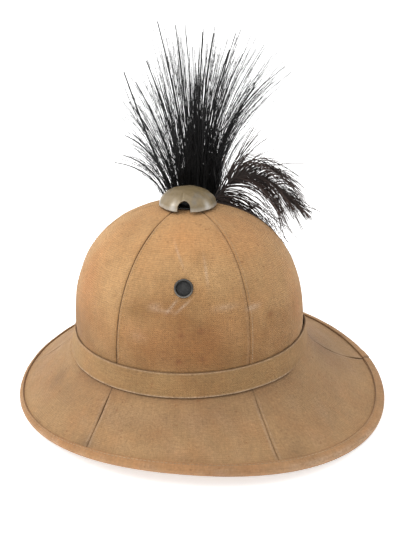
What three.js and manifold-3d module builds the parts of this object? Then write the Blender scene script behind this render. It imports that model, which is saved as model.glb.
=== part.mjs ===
// A cloth-covered pith helmet in millimetres, +Z up, standing on its rim.
// The origin is under the middle of the rim. +X points to the longer end of the brim.
import * as THREE from "three";
import { mergeVertices } from "three/addons/utils/BufferGeometryUtils.js";
import Module from "manifold-3d";

const wasm = await Module();
wasm.setup();

// Driving dimensions
const GAP = 0.3; // clearance between pieces that touch
const WALL = 5; // pith body with its cloth on both sides
const CROWN = { halfLength: 107.5, halfWidth: 91.6, height: 115.8, fall: 2.3, round: 2.28, top: 0.9957 };
const BAND = { level: 66.5, endRise: 2.9, height: 21, flare: 6, thick: 1.2 };
const RIM = { halfLength: 177.4, halfWidth: 153.2, shift: 11.7, power: 2.1, sideLift: 13.1, flatShare: 0.1 };
const BRIM = { longDish: 0.75, shortDish: 0.1, sideDish: 0.12, edgeHeight: 5.7, shortDrop: 0.9 };
const TAPE = { longReach: 7.4, shortReach: 3.4, thick: 1.1, round: 2.2, sole: 3, clear: 0.45 };
const CAP = { radius: 25.3, height: 14, thick: 1.2, clear: 0.4, notchRadius: 5.6, notchLift: 3.1 };
const NOTCHES = [-91, 29, 149];
const COLLAR = { radius: 10.5, bore: 8.5, flange: 17, plate: 0.8, depth: 9 };
const EYELET = { angle: -85.8, height: 137, radius: 7.8, barrel: 6.9, wall: 0.8, proud: 1.1 };
const GAUZE_THICK = 0.8;

// One row per seam: its polar angle at the band, at the crown's top and at the rim, in degrees.
const SEAMS = [
  { crown: -123.5, top: -120, rim: -117 },
  { crown: -52, top: -48, rim: -57 },
  { crown: 6.5, top: 9, rim: 13 },
  { crown: 52, top: 48, rim: 57 },
  { crown: 123.5, top: 120, rim: 117 },
  { crown: 180, top: 180, rim: 180 },
];

// Upright plume: one row per fan of locks, which leans along X and spreads along Y, in degrees.
const PLUME = { angle: 80, seat: 36.6, stemIn: 19, stemOut: 28, stemRadius: 0.9 };
const PLUME_HEAD = { half: [19, 9, 9.5], lift: 10, rootShare: 0.7 };
const LOCK_FANS = [
  { lean: -74, spread: 14, count: 2, length: 84, width: 4.5 },
  { lean: -58, spread: 20, count: 3, length: 90, width: 5 },
  { lean: -40, spread: 24, count: 4, length: 110, width: 6 },
  { lean: -24, spread: 26, count: 5, length: 126, width: 7 },
  { lean: -10, spread: 26, count: 5, length: 140, width: 8 },
  { lean: 3, spread: 26, count: 6, length: 138, width: 8 },
  { lean: 15, spread: 24, count: 5, length: 134, width: 7 },
  { lean: 27, spread: 20, count: 4, length: 130, width: 6 },
  { lean: 38, spread: 14, count: 3, length: 124, width: 5 },
];
const LOCK_STATIONS = [0, 0.35, 0.7, 1];
const LOCK_SWELL = [0.75, 1, 0.72, 0];
const LOCK_TRIM = [0, 0.09, 0.04, 0.12]; // shares cut from the tips of neighbours

// Drooping feather: one row per bend of its shaft, out from the crown's axis and up from the crown's top.
const FEATHER = { angle: 25, radius: 0.9, tipRadius: 0.35, barbs: 12, first: 0.24, last: 0.985, width: 3.2 };
const SHAFT = [
  { out: 17, up: 0.5 },
  { out: 26.5, up: 3 },
  { out: 40.5, up: 17.3 },
  { out: 55, up: 21 },
  { out: 70.5, up: 18 },
  { out: 85, up: 8.3 },
  { out: 99, up: -7.6 },
];

// Its two vanes: how far a barb leaves the shaft upwards and along it, what its droop and length are.
const VANES = [
  { over: 0.55, along: 0.8, turn: 0, droop: 0.72, length: 60 },
  { over: -0.85, along: 0.25, turn: 0.35, droop: 0.12, length: 56 },
];
const BARB_TILT = 0.15; // how far neighbours part to the two sides of the vanes
const BARB_TRIM = [0, 0.1, 0.2];

const CLOTH = { color: 0xb08a5c, roughness: 0.9, metalness: 0 };
const BAND_CLOTH = { color: 0xa4825a, roughness: 0.9, metalness: 0 };
const TAPE_CLOTH = { color: 0xa87f50, roughness: 0.88, metalness: 0 };
const PAINTED_STEEL = { color: 0x7d7361, roughness: 0.45, metalness: 0.6 };
const GAUZE_STEEL = { color: 0x34332f, roughness: 0.7, metalness: 0.4 };
const BLACK_HAIR = { color: 0x0c0b0b, roughness: 0.6, metalness: 0 };
const BROWN_BARBS = { color: 0x2b1e18, roughness: 0.7, metalness: 0 };

const radians = THREE.MathUtils.degToRad;
const lerp = THREE.MathUtils.lerp;
const UP = new THREE.Vector3(0, 0, 1);
const NUDGE = 1e-3; // small step for slopes and searches
const HALVINGS = 40; // steps of a search by bisection
const WELD = 1e-4; // vertices closer than this are one
const TUCK = 1.5 * GAP; // clearance over the crown of what is tucked under the cap
const CROWN_X = -RIM.shift;
const CROWN_GRID = { columns: 8, rows: 13 };
const BRIM_GRID = { columns: 9, rows: 6 };

// A point at a radius, polar angle and height round the crown's axis.
function polar(radius, angle, z) {
  return new THREE.Vector3(CROWN_X + radius * Math.cos(angle), radius * Math.sin(angle), z);
}

function axisDistance(point) {
  return Math.hypot(point.x - CROWN_X, point.y);
}

function crownRadius(angle) {
  return 1 / Math.hypot(Math.cos(angle) / CROWN.halfLength, Math.sin(angle) / CROWN.halfWidth);
}

// Share of the crown's foot radius that is left at a share of its height.
function domeShare(share) {
  return Math.pow(1 - Math.pow(Math.max(share, 0), CROWN.fall), 1 / CROWN.round);
}

function bandTop(angle) {
  return BAND.level + BAND.endRise * Math.cos(angle);
}

// The wall under the band, from its top edge (share 0) to its foot (share 1).
function wallPoint(angle, share) {
  const radius = crownRadius(angle) + BAND.flare * share;
  return polar(radius, angle, bandTop(angle) - BAND.height * share);
}

// The crown's outer face: share 0 is the split behind the band, share 1 the vent hole.
const SPLIT = 0.5;
const BAND_ROWS = 1 / CROWN_GRID.rows;
function crownPoint(angle, share) {
  if (share < BAND_ROWS) return wallPoint(angle, SPLIT * (1 - share / BAND_ROWS));
  const foot = (bandTop(angle) - BAND.level) / CROWN.height;
  const climb = ((share - BAND_ROWS) / (1 - BAND_ROWS)) * Math.asin(CROWN.top);
  const height = lerp(foot, CROWN.top, Math.sin(climb) / CROWN.top);
  return polar(crownRadius(angle) * domeShare(height), angle, BAND.level + CROWN.height * height);
}

// Radius of the rim, a superellipse that is set off from the crown's axis, by bisection.
function rimRadius(angle) {
  let near = 0;
  let far = 2 * RIM.halfLength;
  for (let step = 0; step < HALVINGS; step++) {
    const middle = (near + far) / 2;
    const x = Math.abs((middle * Math.cos(angle) - RIM.shift) / RIM.halfLength);
    const y = Math.abs((middle * Math.sin(angle)) / RIM.halfWidth);
    if (Math.pow(x, RIM.power) + Math.pow(y, RIM.power) < 1) near = middle;
    else far = middle;
  }
  return near;
}

// Top edge of the rim: level along both ends, lifted along the sides.
function rimPoint(angle) {
  const side = Math.sin(angle) ** 2;
  const lift = RIM.sideLift * Math.max(0, (side - RIM.flatShare) / (1 - RIM.flatShare));
  const drop = (BRIM.shortDrop * (1 - Math.cos(angle))) / 2;
  return polar(rimRadius(angle) - TAPE.round, angle, BRIM.edgeHeight - drop + lift);
}

// How hollow the brim's slope is at a rim angle; 0 is straight.
function brimDish(angle) {
  const end = Math.cos(angle) > 0 ? BRIM.longDish : BRIM.shortDish;
  return lerp(BRIM.sideDish, end, Math.cos(angle) ** 2);
}

// The brim's upper face between a crown angle and a rim angle: share 0 is the split, share 1 the rim.
const WALL_ROWS = 1 / BRIM_GRID.rows;
function brimPoint(angles, share) {
  const start = SPLIT + GAP / BAND.height;
  if (share < WALL_ROWS) return wallPoint(angles.crown, lerp(start, 1, share / WALL_ROWS));
  const way = (share - WALL_ROWS) / (1 - WALL_ROWS);
  const foot = wallPoint(angles.crown, 1);
  const edge = rimPoint(angles.rim);
  const dish = brimDish(angles.rim);
  const point = foot.clone().lerp(edge, way);
  point.z = lerp(foot.z, edge.z, (1 + dish) * way - dish * way * way);
  return point;
}

// Unit normal of a surface point(u, v), on the side of du x dv.
function normalAt(point, u, v) {
  const du = point(u + NUDGE, v).sub(point(u - NUDGE, v));
  const dv = point(u, Math.min(v + NUDGE, 1)).sub(point(u, Math.max(v - NUDGE, 0)));
  return du.cross(dv).normalize();
}

// A closed geometry from points and triangles, turned so that its faces point out.
function closedGeometry(points, triangles) {
  const volume = triangles.reduce((sum, [a, b, c]) => {
    return sum + points[a].dot(new THREE.Vector3().crossVectors(points[b], points[c]));
  }, 0);
  const faces = volume < 0 ? triangles.map(([a, b, c]) => [a, c, b]) : triangles;
  const geometry = new THREE.BufferGeometry().setFromPoints(points);
  return geometry.setIndex(faces.flat());
}

// Triangles of a grid of rows by columns, closed round the rows or the columns where asked.
function gridTriangles(rows, columns, closedRows, closedColumns) {
  const triangles = [];
  for (let i = 0; i < (closedRows ? rows : rows - 1); i++) {
    for (let j = 0; j < (closedColumns ? columns : columns - 1); j++) {
      const a = i * columns + j;
      const b = ((i + 1) % rows) * columns + j;
      const c = ((i + 1) % rows) * columns + ((j + 1) % columns);
      const d = i * columns + ((j + 1) % columns);
      triangles.push([a, b, c], [a, c, d]);
    }
  }
  return triangles;
}

// A curved slab: outer(u, v) and its inner face WALL below it, on a grid, with closed edges.
function slab(outer, columns, rows) {
  const faces = [[], []];
  for (let i = 0; i <= columns; i++) {
    for (let j = 0; j <= rows; j++) {
      const [u, v] = [i / columns, j / rows];
      const point = outer(u, v);
      faces[0].push(point);
      faces[1].push(point.clone().addScaledVector(normalAt(outer, u, v), -WALL));
    }
  }
  const count = faces[0].length;
  const sheet = gridTriangles(columns + 1, rows + 1, false, false);
  const edge = [];
  for (let i = 0; i < columns; i++) edge.push(i * (rows + 1));
  for (let j = 0; j < rows; j++) edge.push(columns * (rows + 1) + j);
  for (let i = columns; i > 0; i--) edge.push(i * (rows + 1) + rows);
  for (let j = rows; j > 0; j--) edge.push(j);
  const walls = edge.flatMap((a, k) => {
    const b = edge[(k + 1) % edge.length];
    return [[b, a, a + count], [b, a + count, b + count]];
  });
  const under = sheet.map(([a, b, c]) => [a + count, c + count, b + count]);
  return closedGeometry(faces.flat(), [...sheet, ...under, ...walls]);
}

// A closed ring: section(angle) gives the same closed loop of points at each angle.
function ring(section, steps) {
  const loops = [];
  for (let i = 0; i < steps; i++) loops.push(section((2 * Math.PI * i) / steps));
  const triangles = gridTriangles(steps, loops[0].length, true, true);
  return closedGeometry(loops.flat(), triangles);
}

// A round rod along a row of points, with one radius per point; a last radius of 0 makes a tip.
const ROD_SIDE = new THREE.Vector3(0.31, 0.95, 0.05); // no rod runs along it
function rod(points, radii, sides) {
  const rings = [];
  const pointed = radii.at(-1) === 0;
  const last = points.length - (pointed ? 2 : 1);
  for (let i = 0; i <= last; i++) {
    const ahead = points[Math.min(i + 1, points.length - 1)];
    const along = ahead.clone().sub(points[Math.max(i - 1, 0)]).normalize();
    const across = ROD_SIDE.clone().cross(along).normalize();
    const over = along.clone().cross(across);
    for (let k = 0; k < sides; k++) {
      const turn = (2 * Math.PI * k) / sides;
      const spoke = across.clone().multiplyScalar(Math.cos(turn)).addScaledVector(over, Math.sin(turn));
      rings.push(points[i].clone().addScaledVector(spoke, radii[i]));
    }
  }
  const triangles = gridTriangles(last + 1, sides, false, true);
  const start = rings.push(points[0].clone()) - 1;
  const end = rings.push(points.at(-1).clone()) - 1;
  for (let k = 0; k < sides; k++) {
    const next = (k + 1) % sides;
    triangles.push([start, k, next], [end, last * sides + next, last * sides + k]);
  }
  return closedGeometry(rings, triangles);
}

// Solids for joins and cuts
function solid(geometry) {
  const bare = geometry.clone();
  bare.deleteAttribute("normal");
  bare.deleteAttribute("uv");
  const merged = mergeVertices(bare, WELD);
  const vertProperties = merged.attributes.position.array;
  const triVerts = new Uint32Array(merged.index.array);
  return new wasm.Manifold(new wasm.Mesh({ numProp: 3, vertProperties, triVerts }));
}

function geometryOf(made) {
  const mesh = made.getMesh();
  const geometry = new THREE.BufferGeometry();
  geometry.setAttribute("position", new THREE.BufferAttribute(mesh.vertProperties, 3));
  return geometry.setIndex(new THREE.BufferAttribute(mesh.triVerts, 1));
}

function fused(geometries) {
  return geometryOf(geometries.map(solid).reduce((sum, next) => sum.add(next)));
}

function cut(geometry, cutters) {
  return geometryOf(cutters.map(solid).reduce((rest, next) => rest.subtract(next), solid(geometry)));
}

// A lathed closed profile of [radius, height] rows, with its axis along +Z.
function lathe(profile, sides) {
  const points = profile.map(([radius, height]) => new THREE.Vector2(radius, height));
  points.push(points[0].clone());
  return new THREE.LatheGeometry(points, sides).rotateX(Math.PI / 2);
}

const helmet = new THREE.Group();

function addPiece(name, geometry, finish) {
  const mesh = new THREE.Mesh(geometry, new THREE.MeshStandardMaterial(finish));
  mesh.name = name;
  helmet.add(mesh);
  return mesh;
}

// The seams on both sides of panel i, the second with its angles above those of the first.
function seamPair(i) {
  const start = SEAMS[i];
  const next = SEAMS[(i + 1) % SEAMS.length];
  const turn = next.crown < start.crown ? 360 : 0;
  return { start, end: { crown: next.crown + turn, top: next.top + turn, rim: next.rim + turn } };
}

// Crown and brim panels, one of each between two seams

// Polar angle at a share of a panel's width, with half a gap left at each seam.
function panelAngle(start, end, share, radius) {
  const trim = GAP / 2 / radius;
  return lerp(radians(start) + trim, radians(end) - trim, share);
}

function crownPanel(i) {
  const { start, end } = seamPair(i);
  return slab((u, v) => {
    const [from, to] = [start, end].map((seam) => lerp(seam.crown, seam.top, v));
    const radius = axisDistance(crownPoint(radians(from), v));
    return crownPoint(panelAngle(from, to, u, radius), v);
  }, CROWN_GRID.columns, CROWN_GRID.rows);
}

function brimPanel(i) {
  const { start, end } = seamPair(i);
  return slab((u, v) => {
    const angles = {
      crown: panelAngle(start.crown, end.crown, u, CROWN.halfWidth),
      rim: panelAngle(start.rim, end.rim, u, RIM.halfWidth),
    };
    return brimPoint(angles, 1 - v);
  }, BRIM_GRID.columns, BRIM_GRID.rows);
}

// The side vent's seat: a point on the crown and the outward normal there.
function eyeletSeat() {
  const angle = radians(EYELET.angle);
  let share = 0;
  while (crownPoint(angle, share).z < EYELET.height) share += NUDGE;
  return { point: crownPoint(angle, share), normal: normalAt(crownPoint, angle, share) };
}

// Puts a geometry made round +Z at a point, with +Z turned to a direction.
function stand(geometry, point, direction) {
  const turn = new THREE.Quaternion().setFromUnitVectors(UP, direction);
  return geometry.applyQuaternion(turn).translate(point.x, point.y, point.z);
}

const seat = eyeletSeat();
const EYELET_SIDES = 24;
const boreRadius = EYELET.barrel + GAP;
const boreCutter = new THREE.CylinderGeometry(boreRadius, boreRadius, 4 * WALL, EYELET_SIDES);
stand(boreCutter.rotateX(Math.PI / 2), seat.point, seat.normal);

SEAMS.forEach((start, i) => {
  const { end } = seamPair(i);
  const panel = crownPanel(i);
  const holdsVent = start.crown < EYELET.angle && EYELET.angle < end.crown;
  addPiece(`crown_panel_${i + 1}`, holdsVent ? cut(panel, [boreCutter]) : panel, CLOTH);
  addPiece(`brim_panel_${i + 1}`, brimPanel(i), CLOTH);
});

// Band: a strip on the wall, standing off by the gap
const BAND_SHARES = [0, SPLIT, 1];
const BAND_STEPS = 54;
function bandSection(angle) {
  const at = (share, off) => {
    const point = wallPoint(angle, share);
    return point.addScaledVector(normalAt(wallPoint, angle, share).negate(), off);
  };
  const inner = BAND_SHARES.map((share) => at(share, GAP));
  const outer = BAND_SHARES.map((share) => at(share, GAP + BAND.thick));
  return [...inner, ...outer.reverse()];
}
addPiece("band", ring(bandSection, BAND_STEPS), BAND_CLOTH);

// Binding: a tape folded over the rim, flattened where it meets the floor
const TAPE_STEPS = 60;
function rimAngles(angle) {
  for (let i = 0; i < SEAMS.length; i++) {
    const { start, end } = seamPair(i);
    const past = THREE.MathUtils.euclideanModulo(angle - radians(start.rim), 2 * Math.PI);
    const share = past / radians(end.rim - start.rim);
    if (share <= 1) return { crown: radians(lerp(start.crown, end.crown, share)), rim: angle };
  }
  return null;
}
function tapeSection(angle) {
  const angles = rimAngles(angle);
  const edge = rimPoint(angles.rim);
  const inward = brimPoint(angles, 1 - 1 / BRIM_GRID.rows).sub(edge).normalize();
  const along = rimPoint(angles.rim + NUDGE).sub(rimPoint(angles.rim - NUDGE)).normalize();
  const normal = along.cross(inward).normalize();
  if (normal.z < 0) normal.negate();
  const at = (reach, off) => {
    const point = edge.clone().addScaledVector(inward, reach).addScaledVector(normal, off);
    point.z = Math.max(point.z, 0);
    return point;
  };
  const { longReach, shortReach, thick, round, sole, clear } = TAPE;
  const reach = lerp(shortReach, longReach, (1 + Math.cos(angle)) / 2);
  const face = clear + thick;
  return [
    at(reach, clear),
    at(reach, face),
    at(round, face),
    at(-round + GAP, 0),
    at(-round, -WALL / 2),
    at(-round + GAP, -WALL),
    at(0, -WALL - face),
    at(sole, -WALL - face),
    at(reach, -WALL - face),
    at(reach, -WALL - clear),
    at(-round / 2, -WALL - clear),
    at(-round / 2, clear),
  ];
}
addPiece("brim_binding", ring(tapeSection, TAPE_STEPS), TAPE_CLOTH);

// Vent cap on a hidden collar over the hole at the top of the crown
const POLE = BAND.level + CROWN.height;
const CAP_FOOT = POLE + CAP.clear;
const CAP_SIDES = 28;
const CAP_ROWS = 5;
const COLLAR_SIDES = 20;
const NOTCH_STEPS = 5;

// Height of the cap's dome, a half ellipsoid, above its foot at a radius, for the outer or the inner face.
function capHeight(radius, inset) {
  const share = Math.min(radius / (CAP.radius - inset), 1);
  return (CAP.height - inset) * Math.sqrt(1 - share ** 2);
}

// A round-topped notch through the cap's wall, at a polar angle.
function notchCutter(angle) {
  const { notchRadius, notchLift, radius, thick } = CAP;
  const arch = new THREE.Shape();
  arch.moveTo(notchRadius, -thick);
  arch.lineTo(notchRadius, notchLift);
  arch.absarc(0, notchLift, notchRadius, 0, Math.PI, false);
  arch.lineTo(-notchRadius, -thick);
  const options = { depth: radius - COLLAR.flange + thick, bevelEnabled: false, curveSegments: NOTCH_STEPS };
  const cutter = new THREE.ExtrudeGeometry(arch, options).translate(0, 0, COLLAR.flange);
  return cutter.rotateX(Math.PI / 2).rotateZ(radians(angle) + Math.PI / 2);
}

function ventCap() {
  const outer = [];
  const inner = [];
  const innerRadius = CAP.radius - CAP.thick;
  for (let i = 0; i <= CAP_ROWS; i++) {
    const share = Math.sin((Math.PI / 2) * (i / CAP_ROWS));
    outer.push([CAP.radius * share, capHeight(CAP.radius * share, 0)]);
    inner.push([innerRadius * share, capHeight(innerRadius * share, CAP.thick)]);
  }
  const dome = lathe([...inner, ...outer.reverse()], CAP_SIDES);
  return cut(dome, NOTCHES.map(notchCutter)).translate(CROWN_X, 0, CAP_FOOT);
}

function ventCollar() {
  const top = CAP_FOOT + capHeight(COLLAR.radius, CAP.thick) - GAP;
  const plate = POLE + GAP;
  const profile = [
    [COLLAR.bore, POLE - COLLAR.depth],
    [COLLAR.radius, POLE - COLLAR.depth],
    [COLLAR.radius, plate],
    [COLLAR.flange, plate],
    [COLLAR.flange, plate + COLLAR.plate],
    [COLLAR.radius, plate + COLLAR.plate],
    [COLLAR.radius, top],
    [COLLAR.bore, top],
  ];
  return lathe(profile, COLLAR_SIDES).translate(CROWN_X, 0, 0);
}

addPiece("vent_cap", ventCap(), PAINTED_STEEL);
addPiece("vent_collar", ventCollar(), PAINTED_STEEL);

// Side vent: a turned ring through the panel and a gauze disc inside it
function eyeletRing() {
  const { radius, barrel, wall, proud } = EYELET;
  const profile = [
    [barrel - wall, -WALL - proud],
    [barrel, -WALL - proud],
    [barrel, GAP],
    [radius, GAP],
    [radius - GAP, proud],
    [barrel - GAP, proud + GAP],
    [barrel - wall, GAP],
  ];
  return stand(lathe(profile, EYELET_SIDES), seat.point, seat.normal);
}

function eyeletGauze() {
  const radius = EYELET.barrel - EYELET.wall - GAP;
  const disc = new THREE.CylinderGeometry(radius, radius, GAUZE_THICK, EYELET_SIDES).rotateX(Math.PI / 2);
  return stand(disc.translate(0, 0, -GAUZE_THICK), seat.point, seat.normal);
}

addPiece("eyelet_ring", eyeletRing(), PAINTED_STEEL);
addPiece("eyelet_gauze", eyeletGauze(), GAUZE_STEEL);

// A point a given distance above the crown, at a radius from its axis.
function aboveCrown(radius, angle, rise) {
  const share = Math.pow(radius / crownRadius(angle), CROWN.round);
  return polar(radius, angle, BAND.level + CROWN.height * Math.pow(1 - share, 1 / CROWN.fall) + rise);
}

// Raises a point that would come closer to the crown than a clearance.
function clearOfCrown(point, clearance) {
  const angle = Math.atan2(point.y, point.x - CROWN_X);
  const radius = axisDistance(point);
  if (radius >= crownRadius(angle)) return point;
  point.z = Math.max(point.z, aboveCrown(radius, angle, clearance).z);
  return point;
}

// A tapered lock or barb through the points path(share), swelling to its width.
const LOCK_SIDES = 3;
function strip(path, width) {
  return rod(LOCK_STATIONS.map(path), LOCK_SWELL.map((swell) => (swell * width) / 2), LOCK_SIDES);
}

// Plume: a head with fused locks, on a stem that is tucked under the cap
function plumeLock(centre, fan, k) {
  const lean = radians(fan.lean);
  const back = radians(lerp(-fan.spread, fan.spread, k / (fan.count - 1)));
  const way = new THREE.Vector3(Math.tan(lean), Math.sin(back), Math.cos(back)).normalize();
  const aside = new THREE.Vector3(...PLUME_HEAD.half).multiply(way).setZ(0);
  const root = centre.clone().addScaledVector(aside, PLUME_HEAD.rootShare);
  const length = fan.length * (1 - LOCK_TRIM[k % LOCK_TRIM.length]);
  return strip((share) => root.clone().addScaledVector(way, length * share), fan.width);
}

const HEAD_GRID = { columns: 12, rows: 7 };
const STEM_SIDES = 6;
function plume() {
  const angle = radians(PLUME.angle);
  const centre = aboveCrown(PLUME.seat, angle, PLUME_HEAD.lift);
  const head = new THREE.SphereGeometry(1, HEAD_GRID.columns, HEAD_GRID.rows).rotateX(Math.PI / 2);
  head.scale(...PLUME_HEAD.half).translate(centre.x, centre.y, centre.z);
  const lift = TUCK + PLUME.stemRadius;
  const stemPath = [PLUME.stemIn, PLUME.stemOut].map((out) => aboveCrown(out, angle, lift));
  stemPath.push(centre);
  const stem = rod(stemPath, stemPath.map(() => PLUME.stemRadius), STEM_SIDES);
  const locks = LOCK_FANS.flatMap((fan) => {
    return Array.from({ length: fan.count }, (unused, k) => plumeLock(centre, fan, k));
  });
  return fused([head, stem, ...locks]);
}

// Feather: a bent shaft with a vane of barbs above it and one below it
const SHAFT_STEPS = 15;
const SHAFT_SIDES = 5;
function feather() {
  const angle = radians(FEATHER.angle);
  const curve = new THREE.CatmullRomCurve3(SHAFT.map((row) => polar(row.out, angle, POLE + row.up)));
  const lift = TUCK + FEATHER.radius;
  const path = curve.getPoints(SHAFT_STEPS).map((point) => clearOfCrown(point, lift));
  const radii = path.map((point, i) => lerp(FEATHER.radius, FEATHER.tipRadius, i / SHAFT_STEPS));
  const side = new THREE.Vector3(Math.sin(angle), -Math.cos(angle), 0);
  const barbs = VANES.flatMap((vane) => {
    return Array.from({ length: FEATHER.barbs }, (unused, i) => {
      const place = lerp(FEATHER.first, FEATHER.last, i / (FEATHER.barbs - 1));
      const root = curve.getPointAt(place);
      const along = curve.getTangentAt(place);
      const out = side.clone().cross(along).multiplyScalar(vane.over);
      out.addScaledVector(along, vane.along + vane.turn * place);
      out.addScaledVector(side, i % 2 ? BARB_TILT : -BARB_TILT);
      const length = vane.length * (1 - BARB_TRIM[i % BARB_TRIM.length]);
      return strip((way) => {
        const spot = root.clone().addScaledVector(out, length * way);
        spot.z -= vane.droop * length * way * way;
        return clearOfCrown(spot, GAP + FEATHER.width);
      }, FEATHER.width);
    });
  });
  return fused([rod(path, radii, SHAFT_SIDES), ...barbs]);
}

addPiece("plume", plume(), BLACK_HAIR);
addPiece("feather", feather(), BROWN_BARBS);

export default helmet;
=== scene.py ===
"""Looks of a pith helmet: sewn cloth panels, bound brim, vent cap, side vent, plume and feather.

Shapes are worked out as whole arrays in millimetres, in the frame of the solids, with +X towards
the longer end of the brim and +Z up, and go into their meshes in metres.
"""

import math
from types import SimpleNamespace as Named

import bpy
import numpy as np
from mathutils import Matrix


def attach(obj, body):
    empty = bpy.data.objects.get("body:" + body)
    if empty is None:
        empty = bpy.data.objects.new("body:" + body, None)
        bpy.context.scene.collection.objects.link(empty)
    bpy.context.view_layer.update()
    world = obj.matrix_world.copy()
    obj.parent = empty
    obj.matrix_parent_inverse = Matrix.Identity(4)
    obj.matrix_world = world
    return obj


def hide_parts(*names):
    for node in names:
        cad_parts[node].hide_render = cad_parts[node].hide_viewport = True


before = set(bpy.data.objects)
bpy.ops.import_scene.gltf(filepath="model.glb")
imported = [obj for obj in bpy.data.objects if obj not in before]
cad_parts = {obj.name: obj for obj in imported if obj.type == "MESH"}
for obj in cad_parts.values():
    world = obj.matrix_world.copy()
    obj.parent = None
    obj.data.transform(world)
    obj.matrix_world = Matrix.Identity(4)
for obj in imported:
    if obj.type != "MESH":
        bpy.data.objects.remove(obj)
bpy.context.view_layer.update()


def table(names, *rows):
    """Rows of named values: one line of names, then one tuple for each row."""
    return [dict(zip(names.split(), row, strict=True)) for row in rows]


def repeated(rows, counts):
    """Columns of a table as arrays, with each row as often as its count."""
    return Named(**{key: np.repeat([float(row[key]) for row in rows], counts) for key in rows[0]})


# Driving dimensions of the helmet, in millimetres
MM = 0.001
WALL = 5.0
CROWN = Named(half_length=107.5, half_width=91.6, height=115.8, fall=2.3, round=2.28, top=0.9957)
BAND = Named(level=66.5, end_rise=2.9, height=21.0, flare=6.0, off=0.3, thick=1.2)
RIM = Named(half_length=177.4, half_width=153.2, shift=11.7, power=2.1, side_lift=13.1, flat=0.1,
            halvings=40)
BRIM = Named(long_dish=0.75, short_dish=0.1, side_dish=0.12, edge_height=5.7, short_drop=0.9)
TAPE = Named(long_reach=7.4, short_reach=3.4, thick=1.1, round=2.2, clear=0.45, stitch=1.4,
             girth=34.0)
CAP = Named(radius=25.3, height=14.0, thick=1.2, clear=0.4, notch=5.6, notch_lift=3.1,
            notch_turn=1.0, halvings=30, sharp=50)
NOTCH_ANGLES = (-91.0, 29.0, 149.0)
EYELET = Named(angle=-85.8, height=137.0, radius=7.8, barrel=6.9, wall=0.8, proud=1.1)
CROWN_X = -RIM.shift
POLE = BAND.level + CROWN.height

# Seams: polar angles at the crown's foot, at its top and at the rim, and how deep each one is sunk
SEAM_CROWN = np.radians([-123.5, -52.0, 6.5, 52.0, 123.5, 180.0])
SEAM_TOP = np.radians([-120.0, -48.0, 9.0, 48.0, 120.0, 180.0])
SEAM_RIM = np.radians([-117.0, -57.0, 13.0, 57.0, 117.0, 180.0])
SEAM_DEPTH = np.array([1.0, 0.55, 1.1, 0.8, 0.9, 0.5])

# Open slit between two panels, share of the wall where crown and brim part, and the gap there
SLIT = 0.12
SPLIT = 0.5
SEAM_GAP = 0.3

# Camera, fitted to the photograph's frame of 410 by 547 pixels
CAMERA = Named(azimuth=5.6, elevation=24.86, distance=565.0, lens=40.12, sensor=36.0)
AIM = (3.33, 1.47, 114.3)


# Formulas of the helmet's faces

def polar(radius, angle, z):
    """Points at a radius, polar angle and height round the crown's axis."""
    radius, angle, z = np.broadcast_arrays(radius, angle, z)
    return np.stack([CROWN_X + radius * np.cos(angle), radius * np.sin(angle), z], axis=-1)


def crown_radius(angle):
    """Radius of the ellipse at the crown's foot."""
    return 1 / np.hypot(np.cos(angle) / CROWN.half_length, np.sin(angle) / CROWN.half_width)


def dome_share(share):
    """Share of the foot radius left at a share of the crown's height: (1 - h^fall)^(1/round)."""
    return (1 - np.clip(share, 0, 1) ** CROWN.fall) ** (1 / CROWN.round)


def dome_height(radius, angle):
    """Height of the crown's outer face at a radius from its axis, the dome formula turned round."""
    share = np.clip(radius / crown_radius(angle), 0, 1) ** CROWN.round
    return BAND.level + CROWN.height * (1 - share) ** (1 / CROWN.fall)


def band_top(angle):
    """Height of the band's top edge, which rises towards the longer end."""
    return BAND.level + BAND.end_rise * np.cos(angle)


def wall_point(angle, share):
    """The flared wall behind the band, from its top edge (0) to its foot (1)."""
    radius = crown_radius(angle) + BAND.flare * share
    return polar(radius, angle, band_top(angle) - BAND.height * share)


def crown_point(angle, share):
    """The crown's outer face: the wall behind the band, then the dome up to the vent hole (1)."""
    wall_rows = 1 / 13
    low = wall_point(angle, SPLIT * (1 - share / wall_rows))
    foot = (band_top(angle) - BAND.level) / CROWN.height
    climb = np.sin((share - wall_rows) / (1 - wall_rows) * math.asin(CROWN.top)) / CROWN.top
    height = foot + (CROWN.top - foot) * climb
    radius = crown_radius(angle) * dome_share(height)
    high = polar(radius, angle, BAND.level + CROWN.height * height)
    return np.where((share < wall_rows)[..., None], low, high)


def rim_radius(angle):
    """Radius of the rim, a superellipse set off from the crown's axis, by bisection."""
    near = np.zeros_like(angle)
    far = near + 2 * RIM.half_length
    for _ in range(RIM.halvings):
        middle = (near + far) / 2
        along = np.abs((middle * np.cos(angle) - RIM.shift) / RIM.half_length)
        across = np.abs(middle * np.sin(angle) / RIM.half_width)
        inside = along ** RIM.power + across ** RIM.power < 1
        near, far = np.where(inside, middle, near), np.where(inside, far, middle)
    return near


def rim_point(angle):
    """Top edge of the rim: level at both ends, lower at the short one, lifted along the sides."""
    side = np.sin(angle) ** 2
    lift = RIM.side_lift * np.clip((side - RIM.flat) / (1 - RIM.flat), 0, 1)
    drop = BRIM.short_drop * (1 - np.cos(angle)) / 2
    return polar(rim_radius(angle) - TAPE.round, angle, BRIM.edge_height - drop + lift)


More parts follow.
